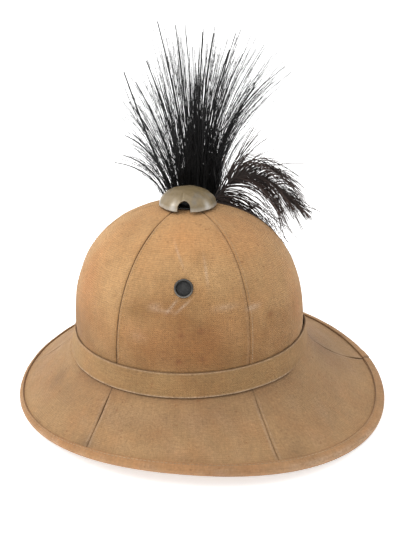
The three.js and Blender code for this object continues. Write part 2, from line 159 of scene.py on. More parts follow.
def brim_point(crown_angle, rim_angle, share):
    """The brim's upper face: the wall under the split, then a dished slope to the rim (1)."""
    wall_rows = 1 / 6
    start = SPLIT + SEAM_GAP / BAND.height
    low = wall_point(crown_angle, start + (1 - start) * share / wall_rows)
    way = np.clip((share - wall_rows) / (1 - wall_rows), 0, 1)
    foot = wall_point(crown_angle, np.ones_like(way))
    edge = rim_point(rim_angle)
    end_dish = np.where(np.cos(rim_angle) > 0, BRIM.long_dish, BRIM.short_dish)
    dish = BRIM.side_dish + (end_dish - BRIM.side_dish) * np.cos(rim_angle) ** 2
    slope = foot + (edge - foot) * way[..., None]
    fall = (1 + dish) * way - dish * way ** 2
    slope[..., 2] = foot[..., 2] + (edge[..., 2] - foot[..., 2]) * fall
    return np.where((share < wall_rows)[..., None], low, slope)


def unit(vectors):
    """Vectors brought to length 1."""
    return vectors / np.linalg.norm(vectors, axis=-1, keepdims=True)


def grid_normals(points):
    """Unit normals of a grid of points: the first direction crossed with the second."""
    return unit(np.cross(np.gradient(points, axis=0), np.gradient(points, axis=1)))


def from_axis(points):
    """Distance of points from the crown's axis."""
    return np.linalg.norm(points[..., :2] - [CROWN_X, 0], axis=-1)


def way_along(path):
    """Length along a path, from 0 at its first point: the running sum of its steps."""
    return np.concatenate([[0], np.cumsum(np.linalg.norm(np.diff(path, axis=0), axis=-1))])


def turn_from(angle, start):
    """Turn from a start to an angle, between half a turn back and half a turn on."""
    return (angle - start + np.pi) % (2 * np.pi) - np.pi


RIPPLE = Named(waves=6, gain=1.6)


def ripple(points, strength, size, seed):
    """Smooth unevenness round 0, mostly within a strength: the mean of seeded sine waves."""
    draw = np.random.default_rng(seed)
    waves = draw.normal(size=(RIPPLE.waves, 3)) * (2 * np.pi / size)
    phases = draw.uniform(0, 2 * np.pi, RIPPLE.waves)
    return strength * (np.sin(points @ waves.T + phases).mean(axis=-1) * RIPPLE.gain)


def patches(points, size, seed):
    """Soft patches from 0 to 1: the upper half of an unevenness."""
    return np.clip(ripple(points, 1.0, size, seed), 0, 1)


def bell(distance, strength, place, width):
    """A bell curve round a place: strength * exp(-((distance - place) / width)^2)."""
    return strength * np.exp(-((distance - place) / width) ** 2)


def round_steps(count):
    """Angles of even steps once round, from 0."""
    return np.linspace(0, 2 * np.pi, count, endpoint=False)


def smooth(value, low, high):
    """Smooth step from 0 at low to 1 at high."""
    t = np.clip((value - low) / (high - low), 0, 1)
    return t * t * (3 - 2 * t)


# Meshes from arrays

def grid_quads(rows, columns, close_rows=False, close_columns=False):
    """Quads of a grid of rows by columns, joined round where asked."""
    i = np.arange(rows if close_rows else rows - 1)[:, None]
    j = np.arange(columns if close_columns else columns - 1)[None, :]
    row, next_row, next_j = i * columns, (i + 1) % rows * columns, (j + 1) % columns
    corners = (row + j, next_row + j, next_row + next_j, row + next_j)
    return np.stack(np.broadcast_arrays(*corners), axis=-1).reshape(-1, 4)


def corner_map(u, v):
    """Map coordinates of each quad's corners, from one value per row and per column, unjoined."""
    rows = len(u) - 1
    columns = len(v) - 1
    i = np.arange(rows)[:, None]
    j = np.arange(columns)[None, :]
    pairs = [(i, j), (i + 1, j), (i + 1, j + 1), (i, j + 1)]
    corners = [np.stack(np.broadcast_arrays(u[a], v[b]), axis=-1) for a, b in pairs]
    return np.stack(corners, axis=-2).reshape(-1, 4, 2)


def add_piece(name, points, faces, material, nodes, maps=None, marks=None, sharp=38):
    """Puts arrays in millimetres into a mesh in metres, which rides on the part's one body."""
    mesh = bpy.data.meshes.new(name)
    mesh.from_pydata((points.reshape(-1, 3) * MM).tolist(), [], faces)
    if maps is not None:
        layer = mesh.uv_layers.new(name="cloth_mm")
        layer.data.foreach_set("uv", maps.astype(np.float32).ravel())
    for label, values in (marks or {}).items():
        layer = mesh.attributes.new(label, "FLOAT", "POINT")
        layer.data.foreach_set("value", values.astype(np.float32).ravel())
    mesh.polygons.foreach_set("use_smooth", np.ones(len(mesh.polygons), dtype=bool))
    mesh.set_sharp_from_angle(angle=math.radians(sharp))
    mesh.materials.append(material)
    piece = bpy.data.objects.new(name, mesh)
    bpy.context.scene.collection.objects.link(piece)
    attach(piece, "root")
    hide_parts(*nodes)
    return piece


def slab_faces(rows, columns):
    """Quads of a closed slab: an outer grid, the same one turned over, and walls along its edge."""
    count = rows * columns
    sheet = grid_quads(rows, columns)
    under = sheet[:, ::-1] + count
    grid = np.arange(count).reshape(rows, columns)
    edge = np.concatenate([grid[:-1, 0], grid[-1, :-1], grid[:0:-1, -1], grid[0, :0:-1]])
    after = np.roll(edge, -1)
    walls = np.stack([after, edge, edge + count, after + count], axis=-1)
    return sheet, under, walls


def add_slab(name, outer, inner, u, v, material, node, marks):
    """A closed cloth panel from its outer and inner grids, with its map in millimetres."""
    rows, columns = outer.shape[:2]
    sheet, under, walls = slab_faces(rows, columns)
    maps = corner_map(u, v)
    wall_map = np.zeros((len(walls), 4, 2))
    maps = np.concatenate([maps, maps[:, ::-1], wall_map])
    faces = np.concatenate([sheet, under, walls]).tolist()
    both = {}
    for label, values in marks.items():
        both[label] = np.concatenate([values.ravel(), np.zeros(values.size)])
    points = np.concatenate([outer.reshape(-1, 3), inner.reshape(-1, 3)])
    return add_piece(name, points, faces, material, [node], maps, both)


# Edge angle that leaves a strand smooth all round, and a direction that no strand runs along
ALL_SMOOTH = 180
ASIDE = (0.31, 0.94, 0.13)


def tubes(paths, radii, sides):
    """Closed tubes along many paths at once: rings across each path's tangent, with capped ends."""
    count, steps = paths.shape[:2]
    tangent = unit(np.gradient(paths, axis=1))
    across = unit(np.cross(tangent, ASIDE))
    over = np.cross(tangent, across)
    turn = 2 * np.pi * np.arange(sides) / sides
    cosine, sine = np.cos(turn)[:, None], np.sin(turn)[:, None]
    spokes = across[:, :, None] * cosine + over[:, :, None] * sine
    points = paths[:, :, None] + spokes * np.broadcast_to(radii, (count, steps))[:, :, None, None]
    first = (np.arange(count) * steps * sides)[:, None, None]
    quads = (first + grid_quads(steps, sides, close_columns=True)).reshape(-1, 4)[:, ::-1]
    ring = np.arange(sides)
    starts = first[:, 0] + ring
    ends = first[:, 0] + (steps - 1) * sides + ring[::-1]
    return points, quads.tolist() + starts.tolist() + ends.tolist()


# Shader building

FLOAT, VECTOR = "NodeSocketFloat", "NodeSocketVector"

# Places of a Mix node's two colours and of its mixed colour
MIX_FIRST, MIX_SECOND, MIXED = 6, 7, 2


def shader_node(tree, kind, inputs=None, **settings):
    """A node with its settings and inputs: a socket is linked, any other value is set."""
    made = tree.nodes.new(kind)
    for key, value in settings.items():
        setattr(made, key, value)
    for key, value in (inputs or {}).items():
        if isinstance(value, bpy.types.NodeSocket):
            tree.links.new(value, made.inputs[key])
        else:
            made.inputs[key].default_value = value
    return made


def math_node(tree, operation, first, second=0.5):
    """One sum, product or other operation on two values."""
    inputs = {0: first, 1: second}
    return shader_node(tree, "ShaderNodeMath", inputs, operation=operation).outputs[0]


def noise(tree, vector, scale, detail=3.0, roughness=0.55):
    """Cloudy noise between 0 and 1."""
    values = {"Vector": vector, "Scale": scale, "Detail": detail, "Roughness": roughness}
    return shader_node(tree, "ShaderNodeTexNoise", values).outputs["Fac"]


def span(tree, value, low, high, to_low=0.0, to_high=1.0):
    """A value carried from one span to another, and held at its ends."""
    values = {"Value": value, "From Min": low, "From Max": high, "To Min": to_low,
              "To Max": to_high}
    return shader_node(tree, "ShaderNodeMapRange", values).outputs["Result"]


def blend(tree, share, first, second, kind="MIX"):
    """Two colours mixed by a share."""
    inputs = {"Factor": share, MIX_FIRST: first, MIX_SECOND: second}
    made = shader_node(tree, "ShaderNodeMix", inputs, data_type="RGBA", blend_type=kind)
    return made.outputs[MIXED]


def mark(tree, name):
    """A piece's own mark, painted on its points."""
    return shader_node(tree, "ShaderNodeAttribute", attribute_name=name).outputs["Fac"]


def new_group(name, inputs, outputs):
    """An empty shader group with named sockets, given as name to socket type."""
    group = bpy.data.node_groups.new(name, "ShaderNodeTree")
    for label, kind in inputs.items():
        group.interface.new_socket(label, in_out="INPUT", socket_type=kind)
    for label, kind in outputs.items():
        group.interface.new_socket(label, in_out="OUTPUT", socket_type=kind)
    return group, group.nodes.new("NodeGroupInput"), group.nodes.new("NodeGroupOutput")


def use_group(tree, group, inputs):
    """The outputs of a shader group placed in a material."""
    return shader_node(tree, "ShaderNodeGroup", inputs, node_tree=group).outputs


# The weave's thread to thread change, slubs along and across it, and how much its lines shade
UNEVEN_THREADS = Named(scale=0.35, detail=2.0, span=(0.3, 0.7, 0.35, 1.0))
SLUBS = Named(stretches=((0.12, 1.1, 1.0), (0.8, 0.07, 1.0)), detail=2.0,
              span=(0.25, 0.75, 0.9, 1.08))
WEAVE_LINES = 0.09


def weave_group():
    """Plain weave in millimetres of cloth: two sine ribs and their crossings, uneven by thread."""
    inputs = {"Cloth": VECTOR, "Pitch": FLOAT, "Ribs": FLOAT}
    group, given, out = new_group("plain_weave", inputs, {"Height": FLOAT, "Shade": FLOAT})
    cloth = given.outputs["Cloth"]
    axes = shader_node(group, "ShaderNodeSeparateXYZ", {0: cloth})
    turn = math_node(group, "DIVIDE", 2 * math.pi, given.outputs["Pitch"])
    sines = []
    for label in ("X", "Y"):
        angle = math_node(group, "MULTIPLY", axes.outputs[label], turn)
        sines.append(math_node(group, "SINE", angle))
    crossing = math_node(group, "MULTIPLY", sines[0], sines[1])
    ribs = math_node(group, "MULTIPLY", sines[1], given.outputs["Ribs"])
    threads = math_node(group, "ADD", ribs, crossing)
    clouds = noise(group, cloth, UNEVEN_THREADS.scale, UNEVEN_THREADS.detail)
    height = math_node(group, "MULTIPLY", threads, span(group, clouds, *UNEVEN_THREADS.span))
    group.links.new(height, out.inputs["Height"])
    slubs = []
    for scale in SLUBS.stretches:
        values = {"Vector": cloth, "Scale": scale}
        stretched = shader_node(group, "ShaderNodeMapping", values).outputs[0]
        slubs.append(span(group, noise(group, stretched, 1.0, SLUBS.detail), *SLUBS.span))
    lines = math_node(group, "MULTIPLY", height, WEAVE_LINES)
    shade = math_node(group, "ADD", lines, math_node(group, "MULTIPLY", slubs[0], slubs[1]))
    group.links.new(shade, out.inputs["Shade"])
    return group


# Marks of age: scale per metre, detail and roughness of their noise, and the span of it that shows
AGE_MARKS = table(
    "label scale detail roughness low high",
    ("Blotch", 16.0, 5.0, 0.6, 0.35, 0.68),
    ("Warmth", 34.0, 4.0, 0.6, 0.42, 0.66),
    ("Spots", 95.0, 3.0, 0.6, 0.52, 0.72),
    ("Specks", 240.0, 2.0, 0.5, 0.66, 0.74),
)
GRAIN = Named(scale=520.0, detail=2.0)


def age_group():
    """Age on cloth and metal: blotches, warm patches, spots, specks and grain, by place."""
    outputs = {row["label"]: FLOAT for row in AGE_MARKS} | {"Grain": FLOAT}
    group, given, out = new_group("age_marks", {"Place": VECTOR}, outputs)
    place = given.outputs["Place"]
    for row in AGE_MARKS:
        clouds = noise(group, place, row["scale"], row["detail"], row["roughness"])
        group.links.new(span(group, clouds, row["low"], row["high"]), out.inputs[row["label"]])
    group.links.new(noise(group, place, GRAIN.scale, GRAIN.detail), out.inputs["Grain"])
    return group


WEAVE = weave_group()
AGE = age_group()


def new_material(name, roughness, **plain):
    """A material with its Principled shader, plain socket values set, and object coordinates."""
    made = bpy.data.materials.new(name)
    made.use_nodes = True
    tree = made.node_tree
    shader = tree.nodes["Principled BSDF"]
    shader.inputs["Roughness"].default_value = roughness
    for key, value in plain.items():
        shader.inputs[key.replace("_", " ")].default_value = value
    place = shader_node(tree, "ShaderNodeTexCoord").outputs["Object"]
    return made, tree, shader, place


def connect_bump(tree, shader, height, strength, distance):
    """Relief of the surface, by a height and how far it stands out in metres."""
    values = {"Height": height, "Strength": strength, "Distance": distance}
    made = shader_node(tree, "ShaderNodeBump", values)
    tree.links.new(made.outputs["Normal"], shader.inputs["Normal"])


# How much each mark shows on cloth
CLOTH = Named(roughness=0.92, sheen=0.05, sheen_roughness=0.6, blotch=(0, 1, -0.3, 0.3),
              warm_kept=0.6, warm_age=0.3, rust=(0, 1, 0.65, 1.0), spots=0.22, specks=0.4,
              scuff=(0.3, 0.7, 0.4, 1.0), grain=(0.25, 0.75, 0.86, 1.13), relief=0.55,
              relief_height=0.0003)
RUST = (0.2, 0.075, 0.024, 1)
WARM = (0.62, 0.44, 0.36, 1)
# Pale tint of scuffs, also used for a painted highlight along the binding's crest
CHALK_AND_HIGHLIGHT = (0.54, 0.4, 0.29, 1)
# Dark tint of seams, also used for painted shade and shadow round the vent, band and binding
SEAM_SHADE = (0.06, 0.03, 0.013, 1)


def cloth_material(name, clean, worn, pitch, ribs):
    """Matt woven cotton: clean and worn tints mixed by soil, warmth, rust, specks, scuffs and
    seams, and by painted shade and highlights.
    """
    made, tree, shader, place = new_material(name, CLOTH.roughness, Sheen_Weight=CLOTH.sheen,
                                             Sheen_Roughness=CLOTH.sheen_roughness)
    cloth = shader_node(tree, "ShaderNodeUVMap", uv_map="cloth_mm").outputs["UV"]
    weave = use_group(tree, WEAVE, {"Cloth": cloth, "Pitch": pitch, "Ribs": ribs})
    age = use_group(tree, AGE, {"Place": place})
    patchy = math_node(tree, "ADD", mark(tree, "soil"), span(tree, age["Blotch"], *CLOTH.blotch))
    tint = blend(tree, patchy, clean, worn)
    kept = math_node(tree, "MULTIPLY", mark(tree, "warm"), CLOTH.warm_kept)
    warmth = math_node(tree, "MULTIPLY", age["Warmth"], CLOTH.warm_age)
    tint = blend(tree, math_node(tree, "ADD", warmth, kept), tint, WARM, "SOFT_LIGHT")
    rust = math_node(tree, "MULTIPLY", mark(tree, "rust"), span(tree, age["Spots"], *CLOTH.rust))
    tint = blend(tree, rust, tint, RUST)
    tint = blend(tree, math_node(tree, "MULTIPLY", age["Spots"], CLOTH.spots), tint, worn)
    tint = blend(tree, math_node(tree, "MULTIPLY", age["Specks"], CLOTH.specks), tint, RUST)
    rubbed = span(tree, age["Grain"], *CLOTH.scuff)
    tint = blend(tree, math_node(tree, "MULTIPLY", mark(tree, "scuff"), rubbed), tint, CHALK_AND_HIGHLIGHT)
    grain = span(tree, age["Grain"], *CLOTH.grain)
    shade = math_node(tree, "MULTIPLY", weave["Shade"], grain)
    tint = blend(tree, 1.0, tint, shade, "MULTIPLY")
    # Seams darkened, together with painted shade and painted shadows
    tint = blend(tree, mark(tree, "seam"), tint, SEAM_SHADE)
    tree.links.new(tint, shader.inputs["Base Color"])
    connect_bump(tree, shader, weave["Height"], CLOTH.relief, CLOTH.relief_height)
    return made


# How much each mark shows on steel
STEEL = Named(coat=0.15, coat_roughness=0.35, spots=0.12, grain=(0.3, 0.7, 0.9, 1.1),
              stain=(0, 1, 1.08, 0.6), metal=(0, 1, 0.12, 0.4), smoother=0.08, rougher=0.1,
              relief=0.12, relief_height=0.0004)


def steel_material(name, paint, bare_and_highlight, roughness):
    """Worn satin paint on steel: darker blotches, and brighter bare metal on rubbed spots and
    painted highlights.
    """
    made, tree, shader, place = new_material(name, roughness, Coat_Weight=STEEL.coat,
                                             Coat_Roughness=STEEL.coat_roughness)
    age = use_group(tree, AGE, {"Place": place})
    spots = math_node(tree, "MULTIPLY", age["Spots"], STEEL.spots)
    rubbed = math_node(tree, "ADD", mark(tree, "rubbed"), spots)
    grain = span(tree, age["Grain"], *STEEL.grain)
    stain = math_node(tree, "MULTIPLY", span(tree, age["Spots"], *STEEL.stain), grain)
    tint = blend(tree, 1.0, paint, stain, "MULTIPLY")
    tint = blend(tree, rubbed, tint, bare_and_highlight)
    tree.links.new(tint, shader.inputs["Base Color"])
    tree.links.new(span(tree, rubbed, *STEEL.metal), shader.inputs["Metallic"])
    smoothest, roughest = roughness - STEEL.smoother, roughness + STEEL.rougher
    satin = span(tree, age["Blotch"], 0, 1, smoothest, roughest)
    tree.links.new(satin, shader.inputs["Roughness"])
    connect_bump(tree, shader, age["Grain"], STEEL.relief, STEEL.relief_height)
    return made


def strand_material(name, root, tip, roughness):
    """Hair or barbs: tint runs from root to tip and changes from strand to strand."""
    made, tree, shader, _ = new_material(name, roughness, Specular_IOR_Level=0.35)
    mixed = math_node(tree, "MULTIPLY", mark(tree, "along"), mark(tree, "tone"))
    tree.links.new(blend(tree, mixed, root, tip), shader.inputs["Base Color"])
    return made


CANVAS = cloth_material("canvas", clean=(0.478, 0.278, 0.12, 1), worn=(0.252, 0.132, 0.045, 1),
                        pitch=1.7, ribs=1.2)
BRIM_CANVAS = cloth_material("brim_canvas", clean=(0.382, 0.225, 0.101, 1),
                             worn=(0.242, 0.142, 0.066, 1), pitch=1.5, ribs=0.6)
BAND_CLOTH = cloth_material("band_cloth", clean=(0.35, 0.205, 0.083, 1),
                            worn=(0.228, 0.13, 0.05, 1), pitch=1.3, ribs=0.4)
TAPE_CLOTH = cloth_material("tape_cloth", clean=(0.42, 0.238, 0.108, 1),
                            worn=(0.28, 0.156, 0.07, 1), pitch=1.0, ribs=0.9)
PAINTED_STEEL = steel_material("painted_steel", paint=(0.205, 0.152, 0.08, 1),
                               bare_and_highlight=(0.66, 0.63, 0.58, 1), roughness=0.38)
EYELET_STEEL = steel_material("eyelet_steel", paint=(0.032, 0.028, 0.024, 1),
                              bare_and_highlight=(0.2, 0.18, 0.155, 1), roughness=0.4)
SHADED_STEEL = steel_material("shaded_steel", paint=(0.012, 0.011, 0.01, 1),
                              bare_and_highlight=(0.03, 0.028, 0.025, 1), roughness=0.7)
GAUZE = steel_material("gauze", paint=(0.014, 0.014, 0.014, 1), bare_and_highlight=(0.075, 0.075, 0.072, 1),
                       roughness=0.6)
BLACK_HAIR = strand_material("black_hair", root=(0.004, 0.004, 0.004, 1),
                             tip=(0.01, 0.01, 0.011, 1), roughness=0.5)
BROWN_BARBS = strand_material("brown_barbs", root=(0.012, 0.0075, 0.006, 1),
                              tip=(0.13, 0.083, 0.068, 1), roughness=0.55)


# Crown and brim panels

# Marks on the crown: polar angle in degrees, height, half length along, half width across and
# strength; a scuff also leans, by its way along for each millimetre up
SCUFFS = table(
    "angle height along across lean strength",
    (-102, 122, 5, 3, 0.3, 0.34),
    (-92.2, 123.4, 1.5, 5, 0.8, 0.62),
    (-86, 123.6, 1.6, 4.5, 1.1, 0.6),
    (-96, 119.5, 9, 1.6, 0.0, 0.3),
    (-63, 121.5, 10, 2.6, 0.4, 0.32),
    (-47.5, 118, 5.5, 2.2, 0.5, 0.7),
    (-71.5, 148, 1.0, 9, 0.0, 0.6),
    (-89.8, 158.5, 1.1, 7, -0.6, 0.55),
    (-110, 96, 7, 5, 0.0, 0.16),
)
RUST_STAINS = table(
    "angle height along across strength",
    (-96, 80, 9, 7, 0.36),
    (-88, 73, 5, 5, 0.33),
    (-77, 105, 5, 4, 0.24),
    (-86, 100, 18, 8, 0.15),
    (-64, 99, 14, 9, 0.23),
    (-66, 156, 7, 6, 0.14),
    (-148, 120, 14, 20, 0.15),
    (130, 80, 22, 9, 0.33),
    (-76.8, 103.8, 2.5, 2.4, 1.0),
    (-87.2, 100.3, 2.3, 2.2, 1.0),
    (-76.2, 79.5, 2.3, 2.2, 1.0),
    (-88.2, 77.1, 2.7, 2.4, 1.0),
    (-38.2, 108.1, 2.7, 2.4, 1.0),
)

# Darker, greyer smudges
GRIME = table(
    "angle height along across strength",
    (-86, 116, 42, 24, 0.42),
    (-84, 84, 46, 16, 0.3),
    (-34, 96, 34, 36, 0.45),
    (-75, 154, 8, 8, 0.4),
    (-113, 118, 11, 7, 0.4),
    (-140, 150, 9, 12, 0.3),
    (-150, 86, 26, 16, 0.3),
    (160, 110, 30, 30, 0.4),
    (60, 100, 40, 30, 0.4),
)

# Warmer, orange places: a tint of the cloth, and painted highlights on the crown's left and top
WARM_TINTS_AND_HIGHLIGHTS = table(
    "angle height along across strength",
    # Painted highlight on the crown's left side
    (-152, 120, 20, 40, 0.9),
    # Painted highlight near the crown's top
    (-86, 168, 26, 13, 0.8),
    (-88, 92, 52, 20, 0.75),
    (-30, 163, 26, 11, 0.6),
    (-14, 108, 11, 30, 0.6),
    (95, 120, 60, 26, 0.6),
)

# Smudges on the brim and one painted shade, with the share of the way out in place of the height
SMUDGES_AND_SHADE = table(
    "angle way along across strength",
    (-100, 0.55, 30, 12, 0.45),
    (-75, 0.35, 40, 9, 0.39),
    (-30, 0.6, 26, 16, 0.2),
    (-140, 0.5, 22, 14, 0.39),
    (-50, 0.85, 12, 9, 0.5),
    (-152, 0.45, 9, 10, 0.59),
    (-118, 0.9, 9, 6, 0.65),
    # Painted shade on the far right end of the brim
    (18, 0.5, 44, 30, 0.55),
    (60, 0.5, 40, 14, 0.45),
    (150, 0.6, 36, 14, 0.45),
)

# Length of the brim's slope, which turns a share of the way out into millimetres
BRIM_SLOPE = 66.0


def soft_oval(row, angle, radius, above):
    """One soft oval mark: strength * exp(-(aside / along)^2 - (above / across)^2)."""
    aside = turn_from(angle, math.radians(row["angle"])) * radius - row.get("lean", 0.0) * above
    return row["strength"] * np.exp(-(aside / row["along"]) ** 2 - (above / row["across"]) ** 2)


def marked(angle, height, radius, rows):
    """Sum of soft ovals on the crown, each at an angle and height, held between 0 and 1."""
    total = sum(soft_oval(row, angle, radius, height - row["height"]) for row in rows)
    return np.clip(total, 0, 1)


def smudges_and_shade(angle, share, radius):
    """Sum of soft ovals on the brim, each at a rim angle and a share of the way out."""
    ovals = [soft_oval(row, angle, radius, (share - row["way"]) * BRIM_SLOPE) for row in SMUDGES_AND_SHADE]
    return sum(ovals)


def edge_clustered(count):
    """Shares from 0 to 1 that crowd towards both ends: (1 - cos) / 2."""
    return (1 - np.cos(np.pi * np.arange(count + 1) / count)) / 2


def with_fine_stretch(shares, centre, half, count):
    """Shares with a finer stretch added round a centre."""
    fine = np.linspace(centre - half, centre + half, count)
    kept = shares[np.abs(shares - centre) > half]
    return np.sort(np.concatenate([kept, fine]))


# In the looks below, a bell has its strength, place and width, a ripple its strength, size and
# seed, patches have their size and seed, and a smooth step has its two ends

# Cloth beside a seam
SEAM = Named(sunk=(0.6, 0, 0.45), fold=(0.25, 2.6, 1.5))


def seam_roll(edge, depth):
    """Height of the cloth beside a seam: a sunk line, and a low ridge of folded cloth by it."""
    return bell(edge, *SEAM.fold) - depth * bell(edge, *SEAM.sunk)


def seam_depth(across, i):
    """How deep the nearer one of a panel's two seams is sunk, at shares of the panel's width."""
    return np.where(across < 0.5, SEAM_DEPTH[i], SEAM_DEPTH[(i + 1) % len(SEAM_DEPTH)])[:, None]


def seam_pair(angles, i):
    """Start and end angle of panel i, with the end above the start."""
    start, end = angles[i], angles[(i + 1) % len(angles)]
    return start, end + (2 * np.pi if end < start else 0)


def between(start, end, trim, share):
    """Angles at shares of the way from a start to an end, with a trim left off at both."""
    return start + trim + (end - start - 2 * trim) * share


# Small turn in radians, to take a direction by, and steps of a fine search
SMALL_TURN = 1e-3
SEARCH_STEPS = 2001


def eyelet_seat():
    """Point on the crown and outward normal at the side vent, by a fine search up one meridian."""
    angle = math.radians(EYELET.angle)
    share = np.linspace(0, 1, SEARCH_STEPS)
    column = crown_point(np.full_like(share, angle), share)
    at = int(np.argmin(np.abs(column[:, 2] - EYELET.height)))
    turn = np.array([[angle - SMALL_TURN], [angle], [angle + SMALL_TURN]])
    patch = crown_point(turn + np.zeros((1, 3)), np.zeros((3, 1)) + share[at - 1:at + 2])
    return column[at], grid_normals(patch)[1, 1], share[at]


SEAT, SEAT_NORMAL, SEAT_SHARE = eyelet_seat()

# Grids of a crown panel, and of the one with the side vent, which is finer round it
CROWN_GRID = Named(columns=64, rows=92)
VENT_GRID = Named(columns=104, rows=140, fine=36, fine_across=0.095, fine_up=0.055)

# Hole of the side vent: how far its edge slopes out and in, and the steps of both faces there
VENT_HOLE = Named(outside=0.2, inside=0.5, sunk=3.2, back=1.2)

# The crown's unevenness, and how soil, painted shade low down, scuffed ridges and seams show on it
CROWN_LOOK = Named(broad=(0.22, 34), broad_seed=7, fine=(0.08, 11), fine_seed=27,
                   seams_fade=(85, 150), low=(66, 150), soil=0.08, low_soil=0.66,
                   seam_soil=(0.15, 0, 5), ridge=(0.16, 2.0, 0.9), seam=(0.85, 0, 0.4))


def vent_recess(base):
    """1 inside the side vent's barrel and 0 round it, by the distance from the barrel's axis."""
    offset = base - SEAT
    aside = np.linalg.norm(offset - (offset @ SEAT_NORMAL)[..., None] * SEAT_NORMAL, axis=-1)
    barrel = EYELET.barrel
    return smooth(-aside, -barrel - VENT_HOLE.outside, -barrel + VENT_HOLE.inside)


def crown_panel(i):
    """One sewn crown panel: the dome between two seams, rolled in at them and uneven by a hair."""
    look = CROWN_LOOK
    start, end = seam_pair(SEAM_CROWN, i)
    top_start, top_end = seam_pair(SEAM_TOP, i)
    vent_angle = math.radians(EYELET.angle)
    vent = start < vent_angle < end
    grid = VENT_GRID if vent else CROWN_GRID
    across, up = edge_clustered(grid.columns), np.linspace(0, 1, grid.rows)
    if vent:
        first = start + (top_start - start) * SEAT_SHARE
        last = end + (top_end - end) * SEAT_SHARE
        middle = (vent_angle - first) / (last - first)
        across = with_fine_stretch(across, middle, grid.fine_across, grid.fine)
        up = with_fine_stretch(up, SEAT_SHARE, grid.fine_up, grid.fine)
    share = np.broadcast_to(up[None, :], (len(across), len(up)))
    left, right = start + (top_start - start) * up, end + (top_end - end) * up
    radius = from_axis(crown_point(left, up))
    angle = between(left, right, SLIT / 2 / radius, across[:, None])
    base = crown_point(angle, share)
    normal = grid_normals(base)
    edge = np.minimum(across, 1 - across)[:, None] * ((right - left) * radius)[None, :]
    height = base[..., 2]
    depth = seam_depth(across, i) ** (2 - smooth(height, *look.seams_fade))
    broad = ripple(base, *look.broad, look.broad_seed + i)
    fine = ripple(base, *look.fine, look.fine_seed + i)
    lift = seam_roll(edge, depth) + broad + fine
    recess = vent_recess(base) if vent else np.zeros_like(height)
    outer = base + normal * (lift * (1 - recess) - VENT_HOLE.sunk * recess)[..., None]
    inner = base - normal * (WALL - VENT_HOLE.back * recess)[..., None]
    low = 1 - smooth(height, *look.low)
    grime = marked(angle, height, radius, GRIME)
    # Soil, and painted shade that darkens the crown towards its foot
    soil = look.soil + look.low_soil * low + bell(edge, *look.seam_soil) + grime
    ridge = (1 - depth) * bell(edge, *look.ridge)
    seam = depth * bell(edge, *look.seam)
    marks = {
        "soil": np.clip(soil, 0, 1),
        "rust": marked(angle, height, radius, RUST_STAINS),
        "warm": marked(angle, height, radius, WARM_TINTS_AND_HIGHLIGHTS),
        "scuff": np.clip(marked(angle, height, radius, SCUFFS) + ridge, 0, 1),
        # Painted shade inside the side vent's recess
        "seam": np.clip(seam + recess, 0, 1),
    }
    u = across * (end - start) * CROWN.half_width
    v = way_along(base[len(across) // 2])
    name = f"crown_panel_{i + 1}"
    return add_slab(name + "_cloth", outer, inner, u, v, CANVAS, name, marks)


# Cosine of the polar angle where the band starts to run out into the brim, and where it has
BAND_END = (0.82, 0.93)


def end_share(angle):
    """1 at both ends, where the band runs out into the brim, and 0 along the sides."""
    return smooth(np.abs(np.cos(angle)), *BAND_END)


# The brim's grid, unevenness and marks; places along its slope are shares of the way out
BRIM_GRID = Named(columns=72, rows=56)
BRIM_LOOK = Named(free=(0.2, 0.4), free_rim=(-1.0, -0.85), broad=(0.5, 60), broad_seed=47,
                  swell=(1.3, 0.19, 0.05), soil=0.2, foot_soil=(0.4, 0.167, 0.08),
                  seam_soil=(0.15, 0, 4), rust=(0.25, 0.2, 0.05), rust_plain=0.5,
                  rust_change=(0.5, 50, 67), scuff=0.08, scuff_patches=(45, 68),
                  seam_scuff=(0.25, 1.7, 0.8), seam=(0.7, 0, 0.35), foot=(0.75, 0.168, 0.012))


def brim_panel(i):
    """One sewn brim panel: the dished slope between two seams, from behind the band to the rim."""
    look = BRIM_LOOK
    crown_start, crown_end = seam_pair(SEAM_CROWN, i)
    rim_start, rim_end = seam_pair(SEAM_RIM, i)
    across, out = edge_clustered(BRIM_GRID.columns), np.linspace(1, 0, BRIM_GRID.rows)
    share = np.broadcast_to(out[None, :], (len(across), len(out)))
    way = np.broadcast_to(across[:, None], share.shape)
    crown_angle = between(crown_start, crown_end, SLIT / 2 / CROWN.half_width, way)
    rim_angle = between(rim_start, rim_end, SLIT / 2 / RIM.half_width, way)
    base = brim_point(crown_angle, rim_angle, share)
    normal = grid_normals(base)
    radius = from_axis(base)
    edge = np.minimum(across, 1 - across)[:, None] * (rim_end - rim_start) * radius
    free = smooth(share, *look.free) * smooth(-share, *look.free_rim)
    depth = seam_depth(across, i)
    end = end_share(crown_angle)
    broad = ripple(base, *look.broad, look.broad_seed + i)
    lift = (seam_roll(edge, depth) + broad) * free + end * bell(share, *look.swell)
    outer = base + normal * lift[..., None]
    inner = base - normal * WALL
    soil = look.soil + smudges_and_shade(rim_angle, share, radius) + bell(edge, *look.seam_soil)
    # Darker strip along the foot of the band
    soil += (1 - end) * bell(share, *look.foot_soil)
    rust = bell(share, *look.rust) * (look.rust_plain + ripple(base, *look.rust_change))
    scuff = look.scuff * patches(base, *look.scuff_patches) + bell(edge, *look.seam_scuff)
    # Seams, and a painted shadow line under the band's foot
    seam = depth * bell(edge, *look.seam) + (1 - end) * bell(share, *look.foot)
    marks = {
        "soil": np.clip(soil, 0, 1),
        "rust": rust * (1 - end),
        "scuff": scuff * free,
        "seam": np.clip(seam, 0, 1),
    }
    u = across * (rim_end - rim_start) * RIM.half_width
    v = way_along(base[len(across) // 2])
    name = f"brim_panel_{i + 1}"
    return add_slab(name + "_cloth", outer, inner, u, v, BRIM_CANVAS, name, marks)


for index in range(len(SEAM_CROWN)):
    crown_panel(index)
    brim_panel(index)


# Band and binding

